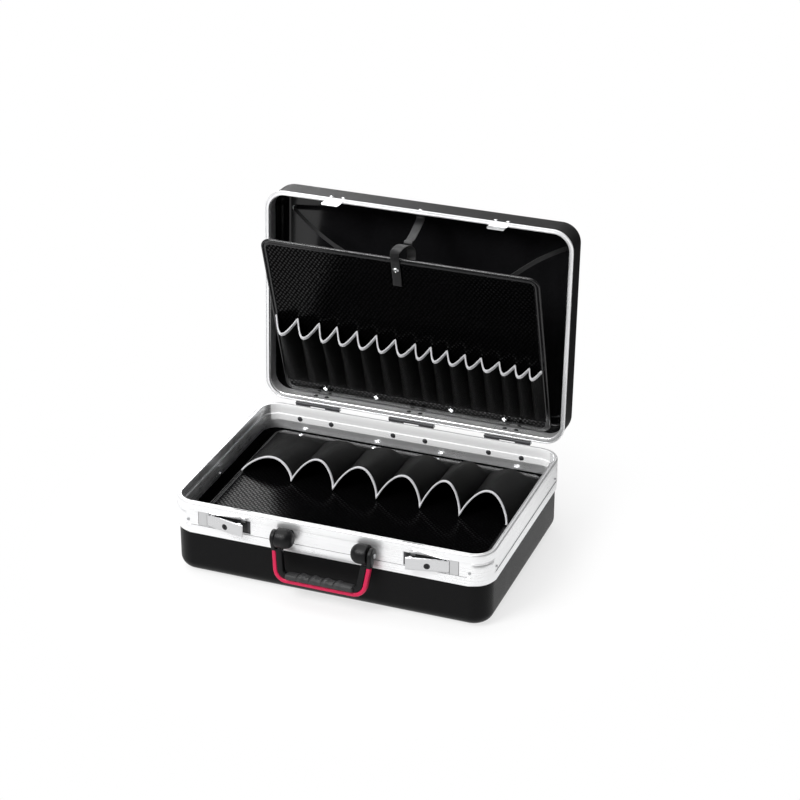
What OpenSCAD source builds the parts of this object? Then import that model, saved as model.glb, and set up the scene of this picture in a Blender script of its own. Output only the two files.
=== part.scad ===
// Hard tool case, standing open on a flat surface. Millimetres, +Z up, width
// along X, handle and latches towards -Y. The origin is the middle of the
// underside of the base shell. Lid pieces are drawn shut and swung open.

/* [Shells] */
// Outside width of both shells
case_w = 480; // [440:5:520]
// Outside depth of both shells, front to back
case_d = 334; // [310:2:370]
// Radius of the upright corners
corner_r = 30; // [28:1:36]
// Rounding of the edge round the underside and the lid's top
edge_r = 18; // [12:1:22]
// Thickness of the moulded shell walls
wall = 2.8; // [2.6:0.1:3]
// Height of the base frame's top rim above the underside
rim_z = 118; // [112:1:130]
// Depth of the lid from its rim to its top
lid_depth = 60; // [58:1:75]

/* [Frame] */
// Height of the base frame's extrusion
frame_h = 50; // [48:1:52]
// How far the frame stands proud of the shell
proud = 2.5; // [2.3:0.1:3]
// Depth of the flat channel in the front of the frame
channel = 1; // [0.8:0.1:1.2]
// Gap between the two rims when the case is shut
rim_gap = 0.6; // [0.4:0.1:1]

/* [Hinges] */
// Angle of the open lid in the rest pose
lid_open = 93; // [60:1:96]
// Distance of each outer hinge from the middle hinge
hinge_step = 154; // [130:1:165]
// Width of one hinge
hinge_w = 73; // [60:1:80]
// Distance of the hinge pins behind the shell's back
hinge_out = 5.4; // [5.2:0.1:6]
// Diameter of the hinge pins
pin_d = 2.4; // [2:0.1:2.6]
// Running clearance round each pin, on the radius
pin_fit = 0.05; // [0.02:0.01:0.08]

/* [Latches and handle] */
// Distance of each latch lever's pivot from the middle
latch_x = 182.3; // [176:0.5:186]
// Length of a latch lever from pivot to free end
lever_len = 60.3; // [58:0.5:62]
// Angle by which the levers stand open in the rest pose
lever_open = 12; // [4:1:30]
// Distance of each handle arm's middle plane from the middle
handle_x = 74.2; // [66:0.2:80]
// Distance of the handle's pivot from the case's front
handle_out = 15; // [14.8:0.1:20]
// Height of the handle's pivot
handle_z = 95.5; // [94:0.5:96]
// Tilt of the hanging handle out from the case
handle_tilt = 11; // [8:0.5:30]
// Distance from the handle's pivot to its outer edge
handle_len = 64.8; // [62:0.2:74]

/* [Tool boards] */
// Height of the base board's top face
board_z = 74.5; // [70:0.5:78]
// Thickness of both tool boards
board_t = 3; // [2:0.5:4]
// Gap between each side of the lid board and the case's outer side
board_gap = 24.5; // [20:0.5:40]
// Length of the lid board, from its hinged edge
lid_board_l = 298; // [280:1:302]
// Depth of the lid board inside the shut lid's rim
lid_board_in = 24; // [22:1:26]
// Angle by which the lid board leans out of the lid
board_lean = 19.8; // [5:0.2:24]
// Thickness of the pocket cloth
cloth_t = 1.2; // [0.8:0.1:1.6]
// Height of the base pockets' hoops above the board
hoop_h = 37; // [20:1:38]
// Bulge of the lid's leftmost pocket
bulge = 27; // [12:1:28]

/* [Hidden] */
$fn = 48;
hw = case_w / 2;
hd = case_d / 2;
// frame section, measured outward from the shell's face and up
frame_z = rim_z - frame_h;
band_z = frame_z + 14;
lip_z = rim_z - 13;
in_hi = 4.4;
in_lo = 5.9;
skin = 0.15;
slot_in = wall + 0.2;
cap_z = rim_z - 4.5;
shell_top = frame_z + 12;
// the lid's rim, shut
lid_z = rim_z + rim_gap;
lid_top = rim_z + lid_depth;
// width of the lid board
board_w = case_w - 2 * board_gap;
hinge_y = hd + hinge_out;
hinge_z = rim_z + 2;
knuckle_r = pin_d / 2 + 1.4;
board_yc = hd - 6.2;
board_zc = lid_z + lid_board_in - 0.6;
// latches: the centre line of the hasps, the levers' heights
hasp_x = latch_x - 53.3;
lock_x = latch_x - 29.8;
lever_lo = band_z + 2.1;
lever_hi = lip_z - 2.1;
lock_z = (lever_lo + lever_hi) / 2 - 2;
hasp_tip = rim_z - 20.5;
pivot_u = 1.2;
// handle pivot
handle_y = -hd - handle_out;
latch_col = "gainsboro";

// ---------- placing helpers ----------
// turns lid pieces from the shut place to the rest pose
module lid_open_place() {
    translate([0, hinge_y, hinge_z])
        rotate([-lid_open, 0, 0])
            translate([0, -hinge_y, -hinge_z])
                children();
}
// a point of the shut lid, in the rest pose
function lid_pt(p) = let (c = cos(lid_open), s = sin(lid_open),
    dy = p[1] - hinge_y, dz = p[2] - hinge_z)
    [p[0], hinge_y + dy * c + dz * s, hinge_z - dy * s + dz * c];
board_foot = lid_pt([0, board_yc, board_zc]);
// the board's own axes: x across, y up the board, z out of its face
board_phi = board_lean - (lid_open - 90);
module lid_board_place() {
    translate(board_foot)
        rotate([90 + board_phi, 0, 0])
            children();
}
function board_pt(x, v, w) = [x,
    board_foot[1] - v * sin(board_phi) - w * cos(board_phi),
    board_foot[2] + v * cos(board_phi) - w * sin(board_phi)];
module both_sides() {
    children();
    mirror([1, 0, 0]) children();
}
module handle_place() {
    translate([0, handle_y, handle_z])
        rotate([-90 - handle_tilt, 0, 0])
            children();
}
// left latch pieces are drawn with x inward from the pivot, y outward from
// the shell's face; side is -1 on the left and 1 on the right
module latch_place(side, turn = 0) {
    translate([side * latch_x, -hd - pivot_u, 0])
        mirror([side > 0 ? 1 : 0, 0, 0])
            rotate([0, 0, -turn])
                translate([0, pivot_u, 0])
                    mirror([0, 1, 0])
                        children();
}

// ---------- shape helpers ----------
module rrect(w, h, r) {
    square([w - 2 * r, h], center = true);
    square([w, h - 2 * r], center = true);
    for (sx = [-1, 1], sy = [-1, 1])
        translate([sx * (w / 2 - r), sy * (h / 2 - r)]) circle(r);
}
module rring(w, h, r, t) {
    difference() {
        rrect(w, h, r);
        rrect(w - 2 * t, h - 2 * t, r - t);
    }
}
// sweeps one section round the case: outward from the shell's face, and up
module ring_sweep(straight, corner) {
    for (m = [0, 1]) mirror([0, m, 0])
        translate([-hw + corner_r, hd, 0])
            rotate([90, 0, 90])
                linear_extrude(case_w - 2 * corner_r) polygon(straight);
    for (m = [0, 1]) mirror([m, 0, 0])
        translate([hw, hd - corner_r, 0])
            rotate([90, 0, 0])
                linear_extrude(case_d - 2 * corner_r) polygon(straight);
    for (mx = [0, 1], my = [0, 1]) mirror([mx, 0, 0]) mirror([0, my, 0])
        translate([hw - corner_r, hd - corner_r, 0])
            rotate_extrude(angle = 90)
                translate([corner_r, 0]) polygon(corner);
}
// a tub with soft lower edges, its walls inset by t
module tub(t, z_lo, z_hi) {
    r = corner_r - t;
    er = edge_r - t;
    hull()
        for (sx = [-1, 1], sy = [-1, 1])
            translate([sx * (hw - corner_r), sy * (hd - corner_r), 0]) {
                translate([0, 0, z_hi - 1]) cylinder(r = r, h = 1);
                translate([0, 0, z_lo + er])
                    rotate_extrude() polygon(concat([[0, 0], [0, -er]],
                        [for (a = [-90:11.25:0]) [r - er + er * cos(a), er * sin(a)]]));
            }
}
// a hollow soft sheet: cols x rows of outer points, thickened along -n
function flat_list(l) = [for (a = l) for (b = a) b];
module sheet_solid(outer, inner, cols, rows) {
    n = cols * rows;
    q = function(i, j) i * rows + j;
    pts = concat(flat_list(outer), flat_list(inner));
    faces = concat(
        [for (i = [0:cols - 2], j = [0:rows - 2]) each [
            [q(i, j), q(i, j + 1), q(i + 1, j)],
            [q(i + 1, j), q(i, j + 1), q(i + 1, j + 1)],
            [n + q(i, j), n + q(i + 1, j), n + q(i, j + 1)],
            [n + q(i + 1, j), n + q(i + 1, j + 1), n + q(i, j + 1)]]],
        [for (i = [0:cols - 2]) each [
            [q(i, 0), q(i + 1, 0), n + q(i, 0)],
            [n + q(i, 0), q(i + 1, 0), n + q(i + 1, 0)],
            [q(i, rows - 1), n + q(i, rows - 1), q(i + 1, rows - 1)],
            [n + q(i, rows - 1), n + q(i + 1, rows - 1), q(i + 1, rows - 1)]]],
        [for (j = [0:rows - 2]) each [
            [q(0, j), n + q(0, j), q(0, j + 1)],
            [n + q(0, j), n + q(0, j + 1), q(0, j + 1)],
            [q(cols - 1, j), q(cols - 1, j + 1), n + q(cols - 1, j)],
            [n + q(cols - 1, j), q(cols - 1, j + 1), n + q(cols - 1, j + 1)]]]);
    polyhedron(pts, faces, convexity = 8);
}
function unit(v) = v / norm(v);
function tangent(p, i) = unit(p[min(i + 1, len(p) - 1)] - p[max(i - 1, 0)]);
// a band along points: half width a along side vector s, half thickness b
module band(p, s, a, b) {
    m = len(p);
    rings = [for (i = [0:m - 1])
        let (t = tangent(p, i), d = unit(s - t * (s * t)), k = cross(t, d))
        [p[i] + d * a + k * b, p[i] - d * a + k * b,
            p[i] - d * a - k * b, p[i] + d * a - k * b]];
    faces = concat(
        [for (i = [0:m - 2], j = [0:3]) each [
            [4 * i + j, 4 * i + 4 + j, 4 * i + (j + 1) % 4],
            [4 * i + 4 + j, 4 * i + 4 + (j + 1) % 4, 4 * i + (j + 1) % 4]]],
        [[0, 1, 2], [0, 2, 3],
            [4 * m - 4, 4 * m - 2, 4 * m - 3], [4 * m - 4, 4 * m - 1, 4 * m - 2]]);
    polyhedron(flat_list(rings), faces, convexity = 8);
}

// ---------- base body ----------
module base_shell() color("#1c1c1e")
    difference() {
        tub(0, 0, shell_top);
        tub(wall, wall, shell_top + 5);
    }

frame_run = [[skin, frame_z], [proud - 0.5, frame_z], [proud, frame_z + 0.5],
    [proud, band_z - 0.4], [proud - channel, band_z + 0.2],
    [proud - channel, lip_z - 0.6], [proud, lip_z],
    [proud, rim_z - 2.4], [proud - 0.6, rim_z - 0.8], [proud - 1.8, rim_z],
    [0.4, rim_z], [0.4, rim_z - 2], [-1.9, rim_z - 2], [-1.9, rim_z],
    [0.8 - in_hi, rim_z], [-in_hi, rim_z - 0.6],
    [-in_hi, rim_z - 15.6], [-in_lo, rim_z - 16.4],
    [-in_lo, frame_z + 9], [-slot_in, frame_z + 9],
    [-slot_in, cap_z], [skin, cap_z]];
// at the bent corners the channel has bulged out to a belly with one groove
frame_bend = [[skin, frame_z], [proud - 1.3, frame_z],
    [proud - 0.4, frame_z + 1.6], [proud, frame_z + 5],
    [proud, rim_z - 22], [proud - 0.5, rim_z - 19.5],
    [proud - channel, rim_z - 18.4], [proud - channel, rim_z - 17.2],
    [proud - 0.5, rim_z - 16], [proud, lip_z],
    [proud, rim_z - 2.4], [proud - 0.6, rim_z - 0.8], [proud - 1.8, rim_z],
    [0.4, rim_z], [0.4, rim_z - 2], [-1.9, rim_z - 2], [-1.9, rim_z],
    [0.8 - in_hi, rim_z], [-in_hi, rim_z - 0.6],
    [-in_hi, rim_z - 15.6], [-in_lo, rim_z - 16.4],
    [-in_lo, frame_z + 9], [-slot_in, frame_z + 9],
    [-slot_in, cap_z], [skin, cap_z]];

module hasp_slots(lo, hi)
    both_sides()
        translate([hasp_x - 14.2, -hd + 0.3, lo]) cube([28.4, 2.65, hi - lo]);

module base_frame() color("#c9cbce")
    difference() {
        ring_sweep(frame_run, frame_bend);
        hasp_slots(cap_z - 1, rim_z + 1);
        // cut-outs for the two latch housings
        both_sides()
            translate([latch_x - 66.3, -hd - 4, band_z + 0.3])
                cube([82.2, 4.6, lip_z - band_z - 0.9]);
        // holes for the hinge rivets
        hinge_rivet_bores();
        // holes for the pins in the bent corners
        corner_pin_place() cylinder(d = 3.2, h = 8, center = true);
        side_stud_place() cylinder(d = 2.2, h = 12, center = true);
    }

module frame_gasket() color("#161616")
    difference() {
        ring_sweep(
            [[0.3, rim_z - 1.95], [0.3, rim_z - 0.1],
                [-1.8, rim_z - 0.1], [-1.8, rim_z - 1.95]],
            [[0.3, rim_z - 1.95], [0.3, rim_z - 0.1],
                [-1.8, rim_z - 0.1], [-1.8, rim_z - 1.95]]);
        hasp_slots(rim_z - 4, rim_z + 1);
    }

// small dark pins where the frame is bent round the corners
module corner_pin_place() {
    for (mx = [0, 1], my = [0, 1]) mirror([mx, 0, 0]) mirror([0, my, 0]) {
        translate([hw - corner_r + 3.8, -hd - proud, frame_z + 21])
            rotate([90, 0, 0]) children();
        translate([hw + proud, -hd + corner_r + 2.4, frame_z + 20])
            rotate([0, 90, 0]) children();
    }
}
module corner_pins() color("#55585c")
    corner_pin_place() {
        translate([0, 0, -1.2]) cylinder(d = 3.1, h = 1.2);
        intersection() {
            translate([0, 0, -3.4]) sphere(4);
            cylinder(d = 4.2, h = 2);
        }
    }

module side_stud_place()
    for (m = [0, 1]) mirror([m, 0, 0])
        translate([hw - in_lo, -14.9, frame_z + 12.4])
            rotate([0, 90, 0]) children();
module side_studs() color("silver")
    side_stud_place() {
        translate([0, 0, -1]) cylinder(d = 5, h = 1);
        cylinder(d = 2, h = 2.6);
    }

module hinge_rivet_bores()
    for (k = [-1, 0, 1], s = [-1, 1])
        translate([k * hinge_step + s * 26, hd + 8, rim_z - 20])
            rotate([90, 0, 0]) cylinder(d = 4.2, h = 20);

// hinge leaves: three knuckles across each hinge
kn_w = hinge_w / 3;
module knuckles(first, step)
    for (i = [first:step:2])
        translate([i * kn_w - hinge_w / 2 + 0.15, 0, 0])
            rotate([0, 90, 0]) cylinder(r = knuckle_r, h = kn_w - 0.3);
module hinge_base_leaf() {
    difference() {
        union() {
            translate([0, hinge_y, hinge_z]) knuckles(0, 2);
            for (i = [0, 2])
                translate([i * kn_w - hinge_w / 2 + 0.15, 0, 0])
                    rotate([90, 0, 90]) linear_extrude(kn_w - 0.3)
                        polygon([[hd + 2.8, lip_z - 2], [hd + 4.2, lip_z - 2],
                            [hd + 4.2, hinge_z], [hd + 2.8, hinge_z]]);
            translate([-hinge_w / 2 + 0.15, hd + 2.8, lip_z - 17])
                cube([hinge_w - 0.3, 1.4, 24]);
            translate([-hinge_w / 2 + 0.15, hd + proud - channel + 0.1, lip_z - 17])
                cube([hinge_w - 0.3, 1.8, 14]);
        }
        translate([-hinge_w / 2 - 10, hinge_y, hinge_z])
            rotate([0, 90, 0]) cylinder(d = pin_d + 2 * pin_fit, h = hinge_w + 20);
    }
}
module hinge_base_leaves() color("#3a3b3e")
    difference() {
        for (k = [-1, 0, 1]) translate([k * hinge_step, 0, 0]) hinge_base_leaf();
        hinge_rivet_bores();
    }
module hinge_pins() color("#8b8d90")
    for (k = [-1, 0, 1])
        translate([k * hinge_step - hinge_w / 2 - 1, hinge_y, hinge_z])
            rotate([0, 90, 0]) {
                cylinder(d = pin_d, h = hinge_w + 2);
                cylinder(d = pin_d + 1.4, h = 1);
                translate([0, 0, hinge_w + 1]) cylinder(d = pin_d + 1.4, h = 1);
            }
module domed_rivet(head, shank, len)
    rotate_extrude()
        polygon(concat([[0, -len - 1]], [[shank / 2 + 1, -len - 1]],
            [[shank / 2 + 1, -len], [shank / 2, -len], [shank / 2, 0], [head / 2, 0]],
            [for (a = [15:15:90]) [head / 2 * cos(a), head * 0.2 * sin(a)]]));
module hinge_base_rivets() color("#222224")
    for (k = [-1, 0, 1], s = [-1, 1])
        translate([k * hinge_step + s * 26, hd - in_lo - 0.02, rim_z - 20])
            rotate([90, 0, 0]) domed_rivet(8, 4, in_lo + 4.26);

// ---------- latches ----------
lx0 = -2;
module latch_housing(side) color("#bfc1c4")
    latch_place(side)
        difference() {
            union() {
                // plate flush with the frame's channel
                translate([-15.2, 0.1, band_z + 0.6])
                    cube([81.2, proud - channel - 0.1, lip_z - band_z - 1.5]);
                // flange behind the frame's skin
                translate([-16.5, -1, shell_top + 0.6])
                    cube([83.8, 1.1, lip_z - shell_top + 2]);
                // lugs that carry the pivot pin
                for (z = [band_z + 0.6, lip_z - 2.9])
                    translate([lx0, -1, z]) cube([4, 4.1, 2]);
            }
            // tray for the lever
            translate([2.5, 0.2, lever_lo - 0.5])
                cube([63, 4, lever_hi - lever_lo + 1]);
            // open slot round the hinged end
            translate([lx0 - 0.3, -2, lever_lo + 0.55])
                cube([4.9, 6, lever_hi - lever_lo - 1.1]);
            // windows for the lock's body and the lever's tongue
            translate([lock_in - 8, -2, lock_z - 6.5]) cube([16, 4, 13]);
            translate([hasp_in - 4.5, -2, hasp_tip + 1.5]) cube([9, 4, 6]);
            translate([0, pivot_u, 0]) cylinder(d = 1.8 + 2 * pin_fit, h = 400);
        }
lock_in = latch_x - lock_x;
hasp_in = latch_x - hasp_x;
module latch_housing_left() latch_housing(-1);
module latch_housing_right() latch_housing(1);
module latch_catches() color("#2b2c2e")
    for (side = [-1, 1]) latch_place(side) {
        translate([61.4, 0.25, lever_lo + 1]) cube([3.6, 1, lever_hi - lever_lo - 2]);
        for (z = [lever_lo + 3, lever_hi - 6])
            translate([62.2, 1.2, z]) cube([2, 0.8, 3]);
    }
module latch_pivot_pins() color("#8b8d90")
    for (side = [-1, 1]) latch_place(side)
        translate([0, pivot_u, band_z + 0.7])
            cylinder(d = 1.8, h = lip_z - band_z - 1.7);
module latch_lever(side) color(latch_col)
    latch_place(side, lever_open)
        difference() {
            union() {
                translate([0, pivot_u, lever_lo + 0.9])
                    cylinder(r = 1.9, h = lever_hi - lever_lo - 1.8);
                translate([0, 0.7, lever_lo + 0.9])
                    cube([6, 2, lever_hi - lever_lo - 1.8]);
                translate([5.2, 0.7, lever_lo])
                    cube([lever_len - 5.2, 2, lever_hi - lever_lo]);
                // raised rims along the lever's long edges
                for (z = [lever_lo, lever_hi - 1])
                    translate([5.2, 2.6, z]) cube([lever_len - 5.2, 0.5, 1]);
                // tongue that reaches through the hasp's slot
                translate([hasp_in - 2, -2.7, hasp_tip + 3.9]) cube([4, 3.5, 1.4]);
            }
            translate([0, pivot_u, 0]) cylinder(d = 1.8 + 2 * pin_fit, h = 400);
            translate([lock_in, 5, lock_z])
                rotate([90, 0, 0]) cylinder(d = 9.1, h = 10);
        }
module latch_lever_left() latch_lever(-1);
module latch_lever_right() latch_lever(1);
module lock_cylinder(side) color("#85878a")
    latch_place(side, lever_open)
        difference() {
            translate([lock_in, 2.8, lock_z])
                rotate([90, 0, 0]) {
                    cylinder(d = 9, h = 5);
                    translate([0, 0, -0.4]) cylinder(d = 8, h = 1);
                }
            translate([lock_in - 0.6, 0.8, lock_z - 2.8]) cube([1.2, 4, 5.6]);
        }
module lock_left() lock_cylinder(-1);
module lock_right() lock_cylinder(1);

// ---------- handle ----------
mount_r = 14.5;
module handle_mount(side) color("#151517")
    mirror([side > 0 ? 0 : 1, 0, 0])
        difference() {
            union() {
                translate([handle_x - 5.2, handle_y, handle_z])
                    rotate([0, -90, 0])
                        rotate_extrude()
                            polygon(concat([[0, 0], [mount_r - 1, 0], [mount_r, 1],
                                [mount_r, 12]],
                                [for (a = [10:10:70])
                                    [mount_r - 12 * (1 - cos(a)), 12 + 13 * sin(a)]],
                                [[0, 12 + 13 * sin(70)]]));
                // foot that fills the gap to the frame's channel
                translate([handle_x - 25, handle_y, handle_z - 10])
                    cube([19, handle_out, 18]);
            }
            translate([0, -hd - (proud - channel) - 0.05, 0])
                cube([200, 40, 200]);
            translate([0, -hd - proud - 0.1, 0]) cube([200, 40, band_z + 0.3]);
            translate([0, -hd - proud - 0.1, lip_z - 0.7]) cube([200, 40, 100]);
            translate([0, handle_y, handle_z])
                rotate([0, 90, 0]) cylinder(d = 4 + 2 * pin_fit, h = 200);
        }
module handle_mount_left() handle_mount(-1);
module handle_mount_right() handle_mount(1);
module handle_pins() color("#8b8d90")
    both_sides()
        translate([handle_x - 20, handle_y, handle_z])
            rotate([0, 90, 0]) {
                cylinder(d = 4, h = 24);
                translate([0, 0, 23.7]) cylinder(d = 7, h = 1);
            }
// handle pieces lie in a plane: y down the handle from the pivot
arm_t = 7;
arm_w = 22;
arm_low = 15.5;
arm_lean = 7.7;
handle_r = 21;
inlay_t = 6.4;
grip_l = 2 * handle_x - 44;
grip_lo = handle_len - 17.6;
grip_hi = handle_len - inlay_t - 0.1;
bend_v = handle_len - handle_r;
bend_x = handle_x + arm_t / 2 - bend_v * tan(arm_lean) - handle_r / cos(arm_lean);
window_v = grip_lo - 3.9;
window_x = bend_x + (bend_v - window_v) * tan(arm_lean)
    + (handle_r - arm_low - 8) / cos(arm_lean);
// a U whose arms lean in: hull round two bends and two far circles
module u_hull(x, v, r)
    hull()
        for (s = [-1, 1]) {
            translate([s * x, v]) circle(r);
            translate([s * (x + (v + 60) * tan(arm_lean)), -60]) circle(r);
        }
module u_outline(out, top)
    intersection() {
        u_hull(bend_x, bend_v, handle_r - out);
        translate([-200, top]) square([400, 400]);
    }
module handle_core() color("#1a1a1c")
    handle_place()
        difference() {
            union() {
                translate([0, 0, -4.5]) linear_extrude(9)
                    difference() {
                        union() {
                            u_outline(inlay_t + 0.1, 12);
                            difference() {
                                u_outline(0.6, 12);
                                translate([-200, 18.8]) square([400, 400]);
                            }
                        }
                        u_hull(window_x, window_v, 8);
                        // shoulders that swing round the mounts
                        translate([-handle_x + arm_t / 2 + 1.2, -10])
                            square([2 * handle_x - arm_t - 2.4, 26.4]);
                    }
                // round eyes that run down into the arms
                both_sides() hull() {
                    translate([handle_x - arm_t / 2, 0, 0])
                        rotate([0, 90, 0]) cylinder(d = arm_w, h = arm_t - 0.6);
                    translate([handle_x - arm_t / 2 - 1.2, 18, -4.5])
                        cube([arm_t - 1.2, 0.8, 9]);
                }
            }
            translate([-200, 0, 0])
                rotate([0, 90, 0]) cylinder(d = 4 + 2 * pin_fit, h = 400);
            both_sides() translate([handle_x + 2.9, 0, 0])
                rotate([0, 90, 0]) cylinder(d = 7.3, h = 10);
        }
// a soft sleeve over the core's lower bar, open along its underside
module handle_grip() color("#242426")
    handle_place()
        difference() {
            hull()
                for (s = [-1, 1], k = [0, 1])
                    translate([s * grip_l / 2, grip_lo + 5 + k * (grip_hi - grip_lo - 8), 0])
                        rotate([0, 90 * s, 0]) translate([0, 0, -3])
                            for (w = [-5, 5]) translate([w, 0, 0])
                                cylinder(r = 5 - 2 * k, h = 3, $fn = 32);
            translate([0, 0, -4.6]) linear_extrude(9.2)
                difference() {
                    translate([-handle_x, window_v]) square([2 * handle_x, 60]);
                    u_hull(window_x, window_v, 7.9);
                }
        }
module handle_inlay() color("#b4233f")
    handle_place()
        translate([0, 0, -4]) linear_extrude(8)
            difference() {
                u_outline(0, 19);
                u_outline(inlay_t, 18.9);
            }

// ---------- base board and pockets ----------
base_y1 = hd - 7.2;
base_y0 = -hd + 9;
board_r = 16;
stitch = 9;
module base_board() color("#121214")
    translate([0, (base_y0 + base_y1) / 2, board_z - board_t])
        linear_extrude(board_t) rrect(board_w + 3, base_y1 - base_y0, board_r);
module base_board_trim() color("#2a2a2c")
    translate([0, (base_y0 + base_y1) / 2, board_z + 0.02])
        difference() {
            linear_extrude(1) rring(board_w + 3, base_y1 - base_y0, board_r, stitch);
            translate([0, 0, 0.5]) linear_extrude(1)
                rring(board_w - 2, base_y1 - base_y0 - 5, board_r - 2.5, 3.4);
            snap_row(base_snap_x, (base_y1 - base_y0) / 2 - 6)
                translate([0, 0, -1]) cylinder(d = 8.2, h = 4);
        }
base_snap_x = [-176, -55, 49, 171] * board_w / 431;
module snap_row(xs, y)
    for (x = xs) translate([x, y, 0]) children();
module snap(d = 8)
    rotate_extrude()
        polygon([[0, 0], [d / 2, 0], [d / 2, 0.8], [d * 0.42, 1.5],
            [d * 0.26, 1.7], [d * 0.22, 1.2], [0, 1.2]]);
module base_snaps() color("#d8dadd")
    translate([0, (base_y0 + base_y1) / 2, board_z + 0.04])
        snap_row(base_snap_x, (base_y1 - base_y0) / 2 - 6) snap();

// seams between the six base pockets, from left to right, and each seam's y
base_seams = [-212, -130, -62, 8, 77, 139, 212] * board_w / 431;
base_rise = [0.63, 0.94, 0.98, 1, 1.14, 1.08];
base_n = 6;
base_k = 10;
base_cols = base_n * base_k + 1;
mouth_y = 4;
mouth_slope = -0.0357;
mouth_lean = 16;
mouth_skew = 3.6;
cloth_z = board_z + 1.1;
tail_y = base_y1 - stitch - 3;
// hoop profile of one pocket, 0 at the seams and 1 at the crest
function hoop(s, p = 0.74) = pow(max(sin(180 * s), 0), p);
function col_x(seams, k, c) = let (i = min(floor(c / k), len(seams) - 2), s = c / k - i)
    seams[i] + (seams[i + 1] - seams[i]) * s;
function col_s(n, k, c) = c / k - min(floor(c / k), n - 1);
base_rows = [0, 0.17, 0.36, 0.56, 0.78, 1];
function base_fall(t) = t > 0.99 ? 0 : 1 - 0.66 * pow(t, 1.2);
// folds: the tunnels sag a little between mouth and tail
function crest(c) = hoop_h * base_rise[min(floor(c / base_k), base_n - 1)]
    * hoop(col_s(base_n, base_k, c));
function base_h(c, t) = let (s = col_s(base_n, base_k, c))
    crest(c) * base_fall(t) + 1.4 * sin(360 * (s + t)) * hoop(s) * t * (1 - t);
function base_mouth(c) = mouth_y + mouth_slope * col_x(base_seams, base_k, c)
    + mouth_lean * hoop(col_s(base_n, base_k, c), 0.55);
function base_x(c, t) = col_x(base_seams, base_k, c)
    + mouth_skew * hoop(col_s(base_n, base_k, c)) * (1 - t);
function base_cloth_pt(c, t, up, pinch = 0) = [base_x(c, t) + pinch,
    base_mouth(c) + 2.7 + t * (tail_y - base_mouth(c) - 2.7),
    cloth_z + up + max(base_h(c, t), 0)];
// the cloth is one strip, drawn in parts that meet at a seam with a hair's gap
seam_gap = 0.1;
function pinched(c, c0, c1) = c == c0 ? seam_gap : c == c1 ? -seam_gap : 0;
module base_cloth(first, last) color("#1b1b1d")
    let (c0 = first * base_k, c1 = last * base_k)
        sheet_solid(
            [for (c = [c0:c1]) [for (t = base_rows)
                base_cloth_pt(c, t, cloth_t, pinched(c, c0, c1))]],
            [for (c = [c0:c1]) [for (t = base_rows)
                base_cloth_pt(c, t, 0, pinched(c, c0, c1))]],
            c1 - c0 + 1, len(base_rows));
module base_pockets_left() base_cloth(0, 3);
module base_pockets_right() base_cloth(3, base_n);
module base_piping() color("#c4c5c8")
    band([for (c = [0:base_cols - 1])
            [base_x(c, 0), base_mouth(c), cloth_z + 1.6 + crest(c)]],
        [0, 1, 0], 2, 1.3);

// ---------- lid body ----------
lid_run = [[proud - 0.9, lid_z], [proud - 0.3, lid_z + 0.6],
    [proud - 0.3, lid_z + 2.2], [proud - 0.9, lid_z + 2.8],
    [-slot_in + 0.1, lid_z + 2.8], [-slot_in + 0.1, lid_z + 24],
    [-5.4, lid_z + 24], [-5.4, lid_z + 4.2], [-in_hi, lid_z + 3.4],
    [-in_hi, lid_z + 0.5], [0.5 - in_hi, lid_z],
    [-1.9, lid_z], [-1.9, lid_z + 1], [0.3, lid_z + 1], [0.3, lid_z]];
module lid_shell() color("#1c1c1e")
    lid_open_place()
        difference() {
            translate([0, 0, lid_top + lid_z + 3]) mirror([0, 0, 1])
                tub(0, lid_z + 3, lid_top);
            translate([0, 0, lid_top + lid_z + 3]) mirror([0, 0, 1])
                tub(wall, lid_z + 3 + wall, lid_top + 5);
            // thinned pads behind the front wall for the hasps
            both_sides()
                translate([hasp_x - 14.5, -hd + 1.35, lid_z - 1]) cube([29, 3, 22]);
            hasp_rivet_place() cylinder(d = 3.3, h = 12, center = true);
            lid_rivet_place() cylinder(d = 4.3, h = 20, center = true);
            strap_rivet_place() cylinder(d = 3.3, h = 20, center = true);
        }
module lid_frame() color("#c9cbce")
    lid_open_place()
        difference() {
            ring_sweep(lid_run, lid_run);
            both_sides()
                translate([hasp_x - 14.2, -hd + 1.3, lid_z - 1])
                    cube([28.4, 1.65, 5]);
            hasp_rivet_place() cylinder(d = 3.2, h = 20, center = true);
            lid_rivet_place() cylinder(d = 4.2, h = 20, center = true);
            strap_rivet_place() cylinder(d = 3.2, h = 20, center = true);
        }
module lid_rivet_place()
    for (k = [-1, 0, 1], s = [-1, 1])
        translate([k * hinge_step + s * 9, hd - 5.42, lid_z + 14])
            rotate([90, 0, 0]) children();
module hinge_lid_leaf()
    difference() {
        union() {
            translate([0, hinge_y, hinge_z]) knuckles(1, 2);
            translate([-kn_w / 2 + 0.15, 0, 0])
                rotate([90, 0, 90]) linear_extrude(kn_w - 0.3)
                    polygon([[hd + 2.8, hinge_z], [hd + 4.2, hinge_z],
                        [hd + 4.2, hinge_z + 5], [hd + 1.6, hinge_z + 8.4],
                        [hd + 1.6, hinge_z + 28], [hd + 0.15, hinge_z + 28],
                        [hd + 0.15, hinge_z + 7], [hd + 2.8, hinge_z + 4]]);
        }
        translate([-hinge_w / 2 - 10, hinge_y, hinge_z])
            rotate([0, 90, 0]) cylinder(d = pin_d + 2 * pin_fit, h = hinge_w + 20);
    }
module hinge_lid_leaves() color("#3a3b3e")
    lid_open_place()
        difference() {
            for (k = [-1, 0, 1]) translate([k * hinge_step, 0, 0]) hinge_lid_leaf();
            lid_rivet_place() cylinder(d = 4.2, h = 20, center = true);
        }
module hinge_lid_rivets() color("#222224")
    lid_open_place() lid_rivet_place() domed_rivet(7, 4, 7.1);

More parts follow.
